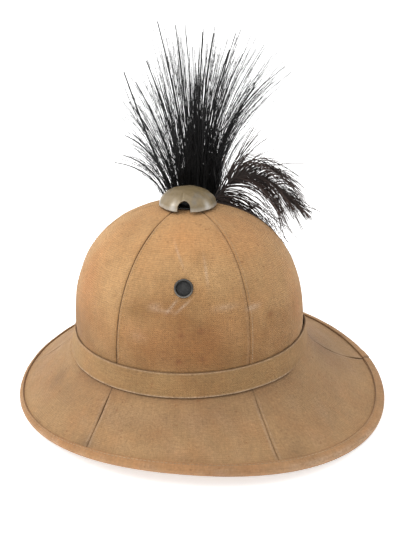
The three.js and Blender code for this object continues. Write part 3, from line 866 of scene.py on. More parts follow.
def closed_ring(name, points, material, node, marks, reach):
    """A closed ring from a grid of angle by section, with the map running round and across."""
    rows, columns = points.shape[:2]
    round_way = way_along(np.concatenate([points, points[:1]])[:, 0])
    maps = corner_map(round_way, np.linspace(0, reach, columns + 1))
    faces = grid_quads(rows, columns, True, True).tolist()
    return add_piece(name, points, faces, material, [node], maps, marks)


def two_faces(inner, outer):
    """A sheet's inner face and then its outer one turned round, as one run across its section."""
    return np.concatenate([np.broadcast_to(inner, outer.shape), outer[:, ::-1]], axis=1)


def section_normals(points):
    """Unit normals along each row of an open section, pointing away from the crown's axis."""
    along = np.gradient(points, axis=1)
    round_way = np.roll(points, -1, axis=0) - np.roll(points, 1, axis=0)
    normal = unit(np.cross(along, round_way))
    outward = points[..., :2] - [CROWN_X, 0]
    side = np.sign((normal[..., :2] * outward).sum(axis=-1))
    return normal * side[..., None]


# The band's grid, folds, waves and marks; its soil starts under 0, so its short end stays clean
BAND_GRID = Named(round=360, across=22)
BAND_LOOK = Named(foot=(0.55, 1.0), sunk=0.8, hem=(0.3, 0.9, 0.7), edge=(0.6, 0, 0.3),
                  wave=(0.25, 42, 77), gape=(1.8, 4, 8), soil=-0.15, patch_soil=0.3,
                  patches=(55, 78), line=(0.1, 3.0, 1.0), long_soil=0.45, long=(-0.75, -0.35),
                  rubbed=(0.4, 0.9, 0.5), shadow=(0.7, 0, 0.3), inside=0.8)


def band():
    """Cloth strip round the crown's foot: the wall moved out, with a rolled fold at both edges."""
    look = BAND_LOOK
    angle = round_steps(BAND_GRID.round)[:, None]
    share = edge_clustered(BAND_GRID.across)[None, :]
    base = wall_point(*np.broadcast_arrays(angle, share))
    normal = section_normals(base)
    edge = np.minimum(share, 1 - share) * BAND.height
    foot = end_share(angle) * smooth(share, *look.foot)
    hem = bell(edge, *look.hem) - bell(edge, *look.edge)
    cloth = BAND.off + BAND.thick + hem + ripple(base, *look.wave)
    gape = bell(np.degrees(turn_from(angle, 0)), *look.gape) * (1 - share) ** 2
    kept = 1 - look.sunk * foot
    outer = base + normal * (cloth * kept + gape)[..., None]
    inner = base + normal * (BAND.off * kept + gape)[..., None]
    soil = look.soil + look.patch_soil * patches(base, *look.patches)
    soil += bell(edge, *look.line) + look.long_soil * smooth(np.cos(angle), *look.long)
    marks = {
        "soil": two_faces(0, soil),
        "scuff": two_faces(0, (1 + share) * bell(edge, *look.rubbed) * (1 - foot)),
        # Painted shade on the band's inner face, and painted shadows along both its edges
        "seam": two_faces(look.inside, bell(edge, *look.shadow) * (1 - foot)),
    }
    points = two_faces(inner, outer)
    return closed_ring("band_strip", points, BAND_CLOTH, "band", marks,
                       2 * BAND.height)


# Share of the way out where the brim's direction at its rim is taken from
NEAR_RIM = 5 / 6


def rim_frame(angle):
    """Rim edge, direction in along the brim, and upward normal of the brim, at each rim angle."""
    rim_seams = np.unwrap(np.concatenate([SEAM_RIM, SEAM_RIM + 2 * np.pi]))
    crown_seams = np.unwrap(np.concatenate([SEAM_CROWN, SEAM_CROWN + 2 * np.pi]))
    unrolled = (angle - rim_seams[0]) % (2 * np.pi) + rim_seams[0]
    crown_angle = np.interp(unrolled, rim_seams, crown_seams)
    edge = rim_point(angle)
    inward = unit(brim_point(crown_angle, angle, np.full_like(angle, NEAR_RIM)) - edge)
    along = rim_point(angle + SMALL_TURN) - rim_point(angle - SMALL_TURN)
    normal = unit(np.cross(inward, along))
    return edge, inward, normal * np.sign(normal[..., 2:])


def tape_reach(angle):
    """How far the tape reaches in over the brim: most at the longer end, least at the short one."""
    wider = TAPE.long_reach - TAPE.short_reach
    return TAPE.short_reach + wider * (1 + np.cos(angle)) / 2


# Steps of the tape's section: round the edge, over the brim and under it
TAPE_SECTION = Named(edge=15, top=14, under=10)


def tape_section(reach):
    """The folded tape's loop for each reach: distance in from the rim's edge, height over the brim.

    It runs over the brim, round the edge as an ellipse, back under it, then along the inside.
    """
    face = TAPE.clear + TAPE.thick
    turn = np.linspace(np.pi / 2, -np.pi / 2, TAPE_SECTION.edge)[1:-1]
    top, bottom = np.linspace(1, 0, TAPE_SECTION.top), np.linspace(0, 1, TAPE_SECTION.under)
    inside = np.array([1.0, 0, 0, 0, 0, 1])
    folded = np.array([0.0, 0, 1, 1, 0, 0])
    share = np.concatenate([top, np.zeros_like(turn), bottom, inside])
    shift = [np.zeros_like(top), np.cos(turn), np.zeros_like(bottom), folded / 2]
    edge_up = (WALL / 2 + face) * np.sin(turn) - WALL / 2
    outer_up = [np.full_like(top, face), edge_up, np.full_like(bottom, -WALL - face)]
    inner_up = TAPE.clear * np.array([-1, -1, 0, 0, 1, 1]) - WALL * np.array([1, 1, 1, 0, 0, 0])
    up = np.concatenate([*outer_up, inner_up])
    outside = np.where(np.arange(len(up)) < len(up) - len(inside), 1.0, 0.0)
    return reach[:, None] * share - TAPE.round * np.concatenate(shift), up, outside


JOIN_ANGLE = SEAM_RIM[2]

# The tape's underside gets painted shade, and its crest a painted highlight
# The tape's lap, puckers, sewn groove and marks; places round it are polar angles in radians
TAPE_STEPS = 720
TAPE_LOOK = Named(lap=0.7, lap_start=0.002, lap_end=(0.075, 0.07), pucker=(0.16, 6.5, 87),
                  pucker_stretch=(1, 1, 3), broad=(0.12, 17, 88), groove=(0.4, TAPE.stitch, 0.6),
                  lip=(0.4, 0, 0.4), free=(0.0, 3.0), stand=0.25, under_share=-0.4,
                  under=(0.6 * WALL, WALL + TAPE.clear), crest=(1.0, -0.5, 2.0), rubbed=0.35,
                  rubbed_plain=0.4, rubbed_change=(1.0, 30, 90),
                  rubbed_spot=(0.25, math.radians(320), 0.35), warm=(0.5, math.radians(240), 0.9),
                  soil=0.3, soil_change=(0.25, 40, 89), under_soil=0.6, rust=0.5,
                  rust_change=(1.0, 26, 91), rust_from=0.5, lip_seam=(1.0, 0, 0.45), side_seam=0.2,
                  end_seam=0.6, join=(0.8, 0, 0.5), under_seam=0.5)


def brim_binding():
    """Tape folded over the rim: its section carried round, puckered, sewn down and lapped once."""
    look = TAPE_LOOK
    angle = round_steps(TAPE_STEPS)
    edge, inward, normal = rim_frame(angle)
    reach = tape_reach(angle)
    inner, up, outside = tape_section(reach)
    from_lip = np.abs(inner - reach[:, None])
    on_top = up > -WALL / 2
    lap_end, lap_full = (JOIN_ANGLE + turn for turn in look.lap_end)
    lap = smooth(angle, JOIN_ANGLE, JOIN_ANGLE + look.lap_start)
    lap = look.lap * lap * smooth(-angle, -lap_end, -lap_full)
    pucker = ripple(edge * look.pucker_stretch, *look.pucker) + ripple(edge, *look.broad)
    sunk = bell(from_lip, *look.groove) + bell(from_lip, *look.lip)
    swell = (lap + pucker)[:, None] * smooth(from_lip, *look.free) - sunk + look.stand
    lift = up + swell * outside * np.where(on_top, 1, look.under_share)
    points = edge[:, None] + inward[:, None] * inner[..., None] + normal[:, None] * lift[..., None]
    points[..., 2] = np.maximum(points[..., 2], 0)
    upper = outside * on_top
    under = outside * smooth(-up, *look.under)
    around = angle[:, None]
    worn = np.clip(look.rubbed_plain + ripple(points, *look.rubbed_change), 0, 1)
    # Pale line along the tape's crest: rubbed wear and a painted highlight, strongest at the right
    # front
    rubbed = look.rubbed * worn + bell(around, *look.rubbed_spot)
    rust = np.clip(ripple(points, *look.rust_change) - look.rust_from, 0, 1)
    seam = (look.side_seam + look.end_seam * np.cos(around) ** 2) * bell(from_lip, *look.lip_seam)
    seam = (seam + bell((around - JOIN_ANGLE) * RIM.half_width, *look.join)) * upper
    # Soil, and painted shade on the tape's underside
    soil = look.soil + ripple(points, *look.soil_change) + look.under_soil * under
    marks = {
        "soil": np.clip(soil, 0, 1),
        "rust": look.rust * rust * outside,
        "warm": bell(around, *look.warm) * outside,
        "scuff": rubbed * bell(inner, *look.crest) * upper,
        # Painted shade on the tape's underside, added to its seams
        "seam": np.clip(seam + look.under_seam * under, 0, 1),
    }
    return closed_ring("rim_tape", points, TAPE_CLOTH, "brim_binding", marks,
                       TAPE.girth)


band()
brim_binding()


# Sewing thread

# A stitch: how high it arches, how deep its ends dip, its thickness from end to end, and its sides
STITCH = Named(arch=0.28, dip=0.1, thickness=(0.6, 1.0, 1.0, 1.0, 0.6), sides=5)

# Rows of stitches: pitch, length and radius
CROWN_STITCHES = Named(pitch=2.6, length=1.9, radius=0.2)
RIM_STITCHES = Named(pitch=3.4, length=2.5, radius=0.24)

# The crown's sewing line: stretch of the seam, steps, way off the seam and height over the cloth
SEAM_LINE = Named(first=0.09, last=0.9, steps=160, off=2.2, over=0.2)
TAPE_LINE = Named(steps=1400, sunk=0.1)


def stitch_row(path, pitch, length):
    """Short arched stitches along a path, each a path of a few points that dips at its ends."""
    steps = way_along(path[:, :3])
    middles = np.arange(pitch, steps[-1] - pitch, pitch)
    spread = np.linspace(-0.5, 0.5, len(STITCH.thickness))
    at = middles[:, None] + spread[None, :] * length
    line = np.stack([np.interp(at, steps, path[:, k]) for k in range(3)], axis=-1)
    rise = np.stack([np.interp(at, steps, path[:, k]) for k in range(3, 6)], axis=-1)
    arch = STITCH.arch * (1 - (2 * spread) ** 2) - STITCH.dip
    return line + rise * arch[None, :, None]


def seam_thread(i):
    """Path and normals of the sewing line beside crown seam i, from the band up to the cap."""
    share = np.linspace(SEAM_LINE.first, SEAM_LINE.last, SEAM_LINE.steps)
    seam = SEAM_CROWN[i] + (SEAM_TOP[i] - SEAM_CROWN[i]) * share
    angle = seam + SEAM_LINE.off / from_axis(crown_point(seam, share))
    near = angle[:, None] + np.array([-SMALL_TURN, 0, SMALL_TURN])
    patch = crown_point(*np.broadcast_arrays(near, share[:, None]))
    normal = grid_normals(patch.transpose(1, 0, 2))[1]
    return np.concatenate([patch[:, 1] + SEAM_LINE.over * normal, normal], axis=-1)


def tape_thread():
    """Path and normals of the sewing line along the binding's inner edge."""
    angle = np.linspace(0, 2 * np.pi, TAPE_LINE.steps)
    edge, inward, normal = rim_frame(angle)
    face = TAPE.clear + TAPE.thick - TAPE_LINE.sunk
    line = edge + inward * (tape_reach(angle) - TAPE.stitch)[:, None] + normal * face
    return np.concatenate([line, normal], axis=-1)


def thread_material(clean, worn, roughness):
    """Cotton thread: clean and worn tints in blotches."""
    made, tree, shader, place = new_material("sewing_thread", roughness)
    age = use_group(tree, AGE, {"Place": place})
    tree.links.new(blend(tree, age["Blotch"], clean, worn), shader.inputs["Base Color"])
    return made


def add_thread(name, lines, pitch, length, radius):
    """Rows of stitches along some lines, as one piece."""
    paths = np.concatenate([stitch_row(line, pitch, length) for line in lines])
    points, faces = tubes(paths, radius * np.array(STITCH.thickness), STITCH.sides)
    return add_piece(name, points, faces, THREAD, [])


THREAD = thread_material(clean=(0.5, 0.36, 0.22, 1), worn=(0.3, 0.195, 0.105, 1), roughness=0.8)
seam_lines = [seam_thread(index) for index in range(len(SEAM_CROWN))]
add_thread("crown_stitches", seam_lines, **vars(CROWN_STITCHES))
add_thread("rim_stitches", [tape_thread()], **vars(RIM_STITCHES))


# Vent cap, eyelet and gauze

def cap_height(radius):
    """Height of the cap's dome, a half ellipsoid, over its foot at a radius."""
    return CAP.height * np.sqrt(np.clip(1 - (radius / CAP.radius) ** 2, 0, None))


def capped_faces(points):
    """Quads of a round sheet given as two faces, joined round, with a cap at each of its poles."""
    rows, columns = points.shape[:2]
    pole = np.arange(rows) * columns
    faces = grid_quads(rows, columns, True, False).tolist()
    return faces + [pole[::-1].tolist(), (pole + columns - 1).tolist()]


def cap_reach(angle):
    """Radius where the cap ends: its foot, or the arch of a half-round notch, by bisection."""
    reach = np.full_like(angle, CAP.radius)
    for notch in np.radians(NOTCH_ANGLES):
        aside = np.abs(turn_from(angle, notch))
        near, far = np.full_like(angle, CAP.radius / 2), np.full_like(angle, CAP.radius)
        for _ in range(CAP.halvings):
            middle = (near + far) / 2
            x = middle * np.sin(aside)
            arch = CAP.notch_lift + np.sqrt(np.clip(CAP.notch ** 2 - x ** 2, 0, None))
            clear = (cap_height(middle) > arch) | (x > CAP.notch)
            near, far = np.where(clear, middle, near), np.where(clear, far, middle)
        reach = np.where(aside < CAP.notch_turn, np.minimum(reach, near), reach)
    return reach


# Steps round the cap and down it, and the finer stretch of degrees at the sides of a notch
CAP_GRID = Named(round=360, down=30, pole=0.002, fine=29, fine_half=1.4)

# Polar angles of painted highlights on the cap's wall, drawn as bright bare metal
HIGHLIGHT_SPOTS = (246, 320, 70, 180)

# The cap's crease and dents, and how its painted highlights and its lip show
CAP_LOOK = Named(crease=(0.5, -2.2, 0.9), crease_from=(9, 13), dent=(0.32, 15, 97),
                 fine=(0.1, 6, 98), plain_top=(0, 6), spots=(0.6, 0, 2.8),
                 spots_height=(1.0, 3.4, 3.2), lip=0.25, lip_from=(0.96, 1.0))


def cap_angles():
    """Angles round the cap, closer together at the sides of the notches."""
    side = math.asin(CAP.notch / CAP.radius)
    sides = [math.radians(notch) + way * side for notch in NOTCH_ANGLES for way in (-1, 1)]
    half = CAP_GRID.fine_half
    near = np.radians(np.linspace(-half, half, CAP_GRID.fine))
    fine = np.concatenate([place + near for place in sides]) % (2 * np.pi)
    even = round_steps(CAP_GRID.round)
    return np.unique(np.concatenate([even, fine]))[:, None]


def vent_cap():
    """Thin pressed dome: a half ellipsoid down to its notched foot, with dents and one crease."""
    look = CAP_LOOK
    angle = cap_angles()
    reach = cap_reach(angle)
    share = np.sin(np.linspace(CAP_GRID.pole, 1, CAP_GRID.down) * np.pi / 2)[None, :]
    radius = reach * share
    base = polar(radius, angle, POLE + CAP.clear + cap_height(radius))
    steep = np.array([CAP.radius, CAP.radius, CAP.height]) ** -2.0
    normal = unit((base - [CROWN_X, 0, POLE + CAP.clear]) * steep)
    first = turn_from(angle, math.radians(NOTCH_ANGLES[0]))
    crease = bell(radius * np.sin(first), *look.crease) * smooth(radius, *look.crease_from)
    crease = np.where(np.abs(first) < CAP.notch_turn, crease, 0)
    dent = ripple(base, *look.dent) + ripple(base, *look.fine) - crease
    outer = base + normal * (dent * smooth(radius, *look.plain_top))[..., None]
    points = two_faces(outer - normal * CAP.thick, outer)
    # Painted highlights low on the cap's wall, and a bright lip round its foot
    asides = [(angle - math.radians(place)) * CAP.radius for place in HIGHLIGHT_SPOTS]
    spots = sum(bell(aside, *look.spots) for aside in asides)
    bright = spots * bell(cap_height(radius), *look.spots_height)
    bright = bright + look.lip * smooth(radius / reach, *look.lip_from)
    return add_piece("vent_cap_dome", points, capped_faces(points), PAINTED_STEEL,
                     ["vent_cap"], marks={"rubbed": two_faces(0, bright)}, sharp=CAP.sharp)


def seat_axes():
    """Two directions across the side vent's axis."""
    side = unit(np.cross([0, 0, 1.0], SEAT_NORMAL))
    return side, np.cross(SEAT_NORMAL, side)


def turned(profile, sides):
    """A profile of radius and height rows turned about the side vent's axis."""
    angle = round_steps(sides)[:, None, None]
    side, over = seat_axes()
    spoke = np.cos(angle) * side + np.sin(angle) * over
    return SEAT + spoke * profile[None, :, :1] + SEAT_NORMAL * profile[None, :, 1:]


# The ring's steps, the heights of its lip, barrel and inner edge, light wear and a low painted
# highlight
RING = Named(sides=72, lip_steps=15, lip_over=0.3, barrel_over=0.2, inner_edge=-1.0, worn=0.08,
             worn_low=0.75, low=(-0.2, 0.9), worn_lip=(1.0, 1.4, 0.6))


def eyelet_ring():
    """Turned ring: a rolled lip as a half round over the cloth and a barrel through the panel."""
    barrel, wall, proud = EYELET.barrel, EYELET.wall, EYELET.proud
    turn = np.linspace(np.pi, 0, RING.lip_steps)
    middle, half = (EYELET.radius + barrel - wall) / 2, (EYELET.radius - barrel + wall) / 2
    lip = np.stack([middle + half * np.cos(turn), RING.lip_over + proud * np.sin(turn)], axis=-1)
    back = -WALL - proud
    rest = np.array([[barrel, RING.barrel_over], [barrel, back], [barrel - wall, back],
                     [barrel - wall, RING.inner_edge]])
    profile = np.concatenate([lip, rest])
    points = turned(profile, RING.sides)
    faces = grid_quads(RING.sides, len(profile), True, True)[:, ::-1].tolist()
    around = round_steps(RING.sides)[:, None]
    # Light wear all round, and a painted highlight on the lip's lower half
    lower = RING.worn + RING.worn_low * smooth(-np.sin(around), *RING.low)
    worn = lower * np.concatenate([bell(turn, *RING.worn_lip), np.zeros(len(rest))])
    return add_piece("eyelet_lip", points, faces, EYELET_STEEL, ["eyelet_ring"],
                     marks={"rubbed": worn})


# The gauze's steps, clearance, wires, dome and back, and how its wires shine in patches
WIRE = Named(round=180, out=60, pole=0.004, clear=0.1, height=0.14, pitch=1.05, sunk=-1.0, dome=0.5,
             back=-1.6, shine=6, dull=0.35, bright=0.9, patches=(4, 97))


def eyelet_gauze():
    """Wire gauze disc: a slightly domed round with crossed wire ripples, closed by a plain back."""
    radius = EYELET.barrel - EYELET.wall - WIRE.clear
    share = np.linspace(WIRE.pole, 1, WIRE.out)[None, :]
    angle = round_steps(WIRE.round)[:, None]
    x, y = radius * share * np.cos(angle), radius * share * np.sin(angle)
    turn = 2 * np.pi / WIRE.pitch
    wire = WIRE.height * np.sin(turn * x) * np.sin(turn * y)
    height = WIRE.sunk + WIRE.dome * (1 - share ** 2) + wire
    side, over = seat_axes()
    flat = SEAT + x[..., None] * side + y[..., None] * over
    front = flat + SEAT_NORMAL * height[..., None]
    points = two_faces(flat + SEAT_NORMAL * WIRE.back, front)
    # Painted highlight on the wire crests, brighter in patches
    bright = WIRE.dull + WIRE.bright * patches(front, *WIRE.patches)
    shine = np.clip(wire * WIRE.shine * bright, 0, 1)
    return add_piece("eyelet_wire", points, capped_faces(points), GAUZE, ["eyelet_gauze"],
                     marks={"rubbed": two_faces(0, shine)})


vent_cap()
eyelet_ring()
eyelet_gauze()
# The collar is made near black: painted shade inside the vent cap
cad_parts["vent_collar"].data.materials.clear()
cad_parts["vent_collar"].data.materials.append(SHADED_STEEL)


# Plume and feather

# Tufts of the plume, in the upright plane through its head: x at the root, x and z of the bend's
# control point and of the tip, number of strands, their spread at the tip, thickness of their hair
# (under 1 in the thin fans), radius of the one stout strand, and least share that a strand reaches
TUFTS = table(
    "root bend_x bend_z x z strands spread hair stout least",
    (-9, -9, 228, -8, 296, 110, 4, 1, 0.3, 0.4),
    (-13, -12, 226, -13, 290, 64, 4, 1, 0.3, 0.36),
    (-4, -5, 226, -4, 284, 60, 4, 1, 0.3, 0.36),
    (7, 12, 203, 3, 230, 120, 3, 1, 0.2, 0.55),
    (-17, -20, 200, -13, 230, 90, 3, 1, 0.2, 0.55),
    (1, 3, 206, -3, 240, 70, 3, 1, 0.2, 0.55),
    (-4, -5, 255, 7.4, 320, 18, 2.5, 1, 1, 0.4),
    (-6, -6, 250, -2, 321, 12, 2.5, 1, 0.9, 0.4),
    (0, -3, 246, 21, 307, 26, 3, 1, 1, 0.35),
    (3, 0, 240, 32, 304, 16, 4, 1, 0.8, 0.4),
    (8, 6, 226, 43, 277, 50, 2.5, 1, 1.2, 0.25),
    (-22, -25, 228, -38, 288, 18, 3.5, 1, 0.8, 0.4),
    (-15, -15, 236, -18, 290, 12, 3.5, 1, 0.6, 0.4),
    (-19, -21, 232, -28, 284, 10, 4, 1, 0.5, 0.5),
    (-6, -7, 250, -1, 324, 80, 14, 0.66, 0.5, 0.8),
    (-11, -16, 246, -25, 326, 60, 10, 0.66, 0.9, 0.8),
    (-14, -20, 250, -40, 332, 22, 6, 0.66, 1, 0.75),
    (-21, -26, 236, -50, 298, 84, 11, 0.66, 1, 0.72),
    (-31, -52, 224, -73, 287, 9, 5, 0.66, 1.2, 0.75),
    (-24, -33, 230, -61, 280, 50, 8, 0.62, 0.8, 0.7),
    (-26, -38, 226, -69, 262, 64, 10, 0.62, 0.8, 0.7),
    (-30, -45, 220, -73, 233, 40, 6, 0.66, 0.9, 0.65),
    (-34, -47, 210, -75, 216, 28, 4, 0.66, 0.9, 0.65),
    (-38, -50, 204, -84, 208, 14, 4, 0.66, 0.8, 0.65),
    (1, -1, 246, 26, 320, 84, 12, 0.66, 0.7, 0.8),
    (4, 3, 242, 50, 312, 92, 13, 0.62, 0.6, 0.8),
    (7, 5, 248, 68, 295, 58, 9, 0.62, 0.7, 0.75),
    (8, 6, 238, 55, 281, 30, 6, 0.62, 0.6, 0.65),
    (11, 11, 220, 40, 254, 40, 8, 0.62, 0.6, 0.55),
    (11, 13, 206, 34, 234, 36, 8, 0.62, 0.6, 0.55),
)
# The plume's root, its strands' drift, bend and reach, and their thickness and tint
PLUME = Named(seed=107, y=36.0, half_x=2.6, half_y=8.0, rise=2.0, top=330.0, fold_back=1.6,
              depth=15.0, stout_depth=0.3, steps=8, sides=3, locks=9, samples=25, clump=0.3,
              scatter=0.95, bend_drift=0.62, bend_root=0.5, bend_rise=0.3, bend_depth=0.3,
              longest=1.03, thin=0.16, thick=0.36, stout_thins=0.5, core_thins=0.55, fan_thins=0.15,
              least_tone=0.1)


def bent(root, control, tip, share):
    """Points along quadratic curves: (1 - t)^2 root + 2 t (1 - t) control + t^2 tip."""
    t = share[None, :, None]
    return root[:, None] * (1 - t) ** 2 + 2 * control[:, None] * t * (1 - t) + tip[:, None] * t ** 2


def strands_of(draw, counts, tuft, stout):
    """Paths of the plume's strands: bent curves from an oval root, each cut at its own reach."""
    total = counts.sum()
    loose = np.where(stout, 0.0, 1.0)
    root_x = tuft.root + PLUME.half_x * loose * draw.normal(size=total)
    root_y = PLUME.y + PLUME.half_y * draw.uniform(-1, 1, total)
    root_angle = np.arctan2(root_y, root_x - CROWN_X)
    root_z = dome_height(np.hypot(root_x - CROWN_X, root_y), root_angle) + PLUME.rise
    lock = draw.integers(0, PLUME.locks, total)
    lock = np.repeat(np.arange(len(counts)), counts) * PLUME.locks + lock
    shared = draw.normal(size=(len(counts) * PLUME.locks, 3))[lock]
    drift = PLUME.clump * shared + PLUME.scatter * draw.normal(size=(total, 3))
    drift *= (tuft.spread * loose)[:, None] * [1, 0, 1]
    held = PLUME.stout_depth + (1 - PLUME.stout_depth) * loose
    depth = PLUME.y + draw.normal(size=total) * PLUME.depth * held
    root = np.stack([root_x, root_y, root_z], axis=-1)
    aside = PLUME.bend_drift * drift[:, 0] + PLUME.bend_root * (root_x - tuft.root)
    bend_y = (1 - PLUME.bend_depth) * root_y + PLUME.bend_depth * depth
    bend_z = tuft.bend_z + PLUME.bend_rise * drift[:, 2]
    control = np.stack([tuft.bend_x + aside, bend_y, bend_z], axis=-1)
    tip = np.stack([tuft.x, depth, tuft.z], axis=-1) + drift
    tip[:, 2] -= PLUME.fold_back * np.maximum(tip[:, 2] - PLUME.top, 0)
    longer = (PLUME.longest - tuft.least) * draw.uniform(0, 1, total)
    reach = np.where(stout, 1.0, tuft.least + longer)
    samples = PLUME.samples
    whole = bent(root, control, tip, np.arange(samples + 2) / samples)
    spot = reach[:, None] * np.linspace(0, 1, PLUME.steps) * samples
    low = np.minimum(spot.astype(int), samples)
    part = (spot - low)[..., None]
    strand = np.arange(total)[:, None]
    return whole[strand, low] * (1 - part) + whole[strand, low + 1] * part


def plume():
    """Hair plume: tufts of bent strands of uneven length and thickness, one stout one in each."""
    draw = np.random.default_rng(PLUME.seed)
    counts = np.array([row["strands"] for row in TUFTS])
    tuft = repeated(TUFTS, counts)
    stout = np.concatenate([np.arange(count) == 0 for count in counts])
    paths = strands_of(draw, counts, tuft, stout)
    share = np.linspace(0, 1, PLUME.steps)
    stouter = draw.uniform(0, 1, len(paths)) ** 2
    thick = PLUME.thin + (PLUME.thick - PLUME.thin) * stouter
    thick = np.where(stout, tuft.stout, thick * tuft.hair)
    thins = np.where(tuft.hair < 1, PLUME.fan_thins, PLUME.core_thins)
    thins = np.where(stout, PLUME.stout_thins, thins)
    taper = 1 - thins[:, None] * share[None, :] ** 2
    points, faces = tubes(paths, thick[:, None] * taper, PLUME.sides)
    tone = draw.uniform(PLUME.least_tone, 1, len(paths))
    marks = {"tone": np.broadcast_to(tone[:, None, None], points.shape[:3]),
             "along": np.broadcast_to(share[None, :, None], points.shape[:3])}
    return add_piece("plume_hair", points, faces, BLACK_HAIR, ["plume"],
                     marks=marks, sharp=ALL_SMOOTH)


# The feather stands in an upright plane at a polar angle, with its barbs' lengths, tilts and tints
FEATHER = Named(seed=207, angle=25.0, steps=9, sides=4, tilt=0.11, jitter=0.05, longest=1.06,
                shorter=0.3, droop_change=0.1, clear=0.8, radius=(0.22, 0.44), thins=0.65,
                least_tone=0.2, least_along=0.2, stray=1.25, stray_thins=0.3, stray_place=0.07,
                stray_scatter=4.0, stray_lean=0.5)

# Its shaft: steps, sides, radius and how much it thins, clearance over the crown, and its tint
QUILL = Named(steps=40, sides=6, radius=0.8, thins=0.55, clear=1.35, step=0.01, tone=0.15,
              along=0.3)

# Bends of the shaft: distance out from the crown's axis and height over the crown's top
SHAFT = table("out up", (17, 0.5), (26.5, 3), (40.5, 17.3), (55, 21), (70.5, 18), (85, 8.3),
              (99, -7.6))

# Its vanes: number of barbs, stretch of the shaft, powers of their spacing and of their change;
# then how far a barb goes over the shaft and along it, bends outwards, droops and reaches, each
# with its value at the vane's start and its change up to the end
VANES = table(
    "barbs first last crowd ease over along bend droop length",
    (110, 0.3, 1.0, 1.2, 0.7, (0.85, 0.04), (1.1, -0.75), (0.48, -0.5), (1.36, -0.55), (66, -40)),
    (240, 0.15, 1.0, 1.25, 1.0, (-0.72, 1.0), (0.65, 0.38), (-0.1, 0.1), (0.82, -0.77), (84, -45)),
    (50, 0.05, 0.2, 1.0, 1.0, (-0.22, -0.42), (0.83, -0.25), (0.28, -0.1), (0.7, 0.0), (72, 6)),
)

# Barbs that stand off on their own: place on the shaft, tip out and up, bow of the middle, number
STRAYS = table(
    "place out up bow count",
    (0.24, 66, 67, 3, 2),
    (0.27, 68, 58, 5, 2),
    (0.2, 58, 55, 4, 2),
    (0.33, 75, 49, 8, 2),
    (0.22, 66, 50, 8, 2),
    (0.3, 48, 44, 2, 2),
    (0.4, 71, 39, 5, 2),
    (0.55, 101, 30, 8, 1),
    (0.55, 109, 3, 22, 1),
    (0.6, 117, -17, 26, 1),
    (0.95, 114, -38, 3, 3),
    (0.8, 97, -40, 2, 3),
    (0.97, 129, -27, 2, 5),
    (0.9, 118, -16, 3, 3),
)


def catmull_rom(points, share):
    """Points on a smooth curve through given points, at shares of its length in spans."""
    padded = np.concatenate([[2 * points[0] - points[1]], points, [2 * points[-1] - points[-2]]])
    spot = share * (len(points) - 1)
    span_index = np.minimum(spot.astype(int), len(points) - 2)
    t = (spot - span_index)[..., None]
    a, b, c, d = (padded[span_index + k] for k in range(4))
    square, cube = 2 * a - 5 * b + 4 * c - d, 3 * b - a - 3 * c + d
    return 0.5 * (2 * b + (c - a) * t + square * t ** 2 + cube * t ** 3)


def clear_of_crown(paths, clearance):
    """Raises points that come closer to the crown than a clearance."""
    angle = np.arctan2(paths[..., 1], paths[..., 0] - CROWN_X)
    radius = np.hypot(paths[..., 1], paths[..., 0] - CROWN_X)
    floor = np.where(radius < crown_radius(angle), dome_height(radius, angle) + clearance, -np.inf)
    paths[..., 2] = np.maximum(paths[..., 2], floor)
    return paths


def vane_barbs(draw, vane, bends, outward, side, way):
    """Barbs of one vane, each its root + length * (lean * w + (bend out - droop down) * w^2)."""
    count = vane["barbs"]
    spot = ((np.arange(count) + draw.uniform(0, 1, count)) / count) ** vane["crowd"]
    place = vane["first"] + (vane["last"] - vane["first"]) * spot
    stage = spot ** vane["ease"]
    changing = ("over", "along", "bend", "droop", "length")
    over, ahead, bend, droop, length = (vane[key][0] + vane[key][1] * stage for key in changing)
    root = catmull_rom(bends, place)
    along = catmull_rom(bends, np.minimum(place + QUILL.step, 1))
    along = unit(along - catmull_rom(bends, place - QUILL.step))
    lean = over[:, None] * np.cross(side, along) + ahead[:, None] * along
    jitter = draw.normal(size=(count, 3)) * FEATHER.jitter
    lean += jitter + draw.normal(size=(count, 1)) * FEATHER.tilt * side
    length = length * (FEATHER.longest - FEATHER.shorter * draw.uniform(0, 1, count))
    drooping = droop * draw.normal(1, FEATHER.droop_change, count)
    curl = bend[:, None] * outward - drooping[:, None] * np.array([0, 0, 1.0])
    course = lean[:, None] * way[:, None] + curl[:, None] * way[:, None] ** 2
    return root[:, None] + course * length[:, None, None]


def stray_barbs(draw, bends, outward, way):
    """Barbs that stand off on their own: bent curves from the shaft to scattered tips."""
    up = np.array([0, 0, 1.0])
    counts = [row["count"] for row in STRAYS]
    stray = repeated(STRAYS, counts)
    shift = FEATHER.stray_place * draw.uniform(-1, 1, len(stray.place))
    root = catmull_rom(bends, stray.place + shift)
    tip = [CROWN_X, 0, POLE] + stray.out[:, None] * outward + stray.up[:, None] * up
    tip += draw.normal(size=tip.shape) * FEATHER.stray_scatter
    bow = stray.bow[:, None] * (up - FEATHER.stray_lean * outward)
    return bent(root, (root + tip) / 2 + bow, tip, way)


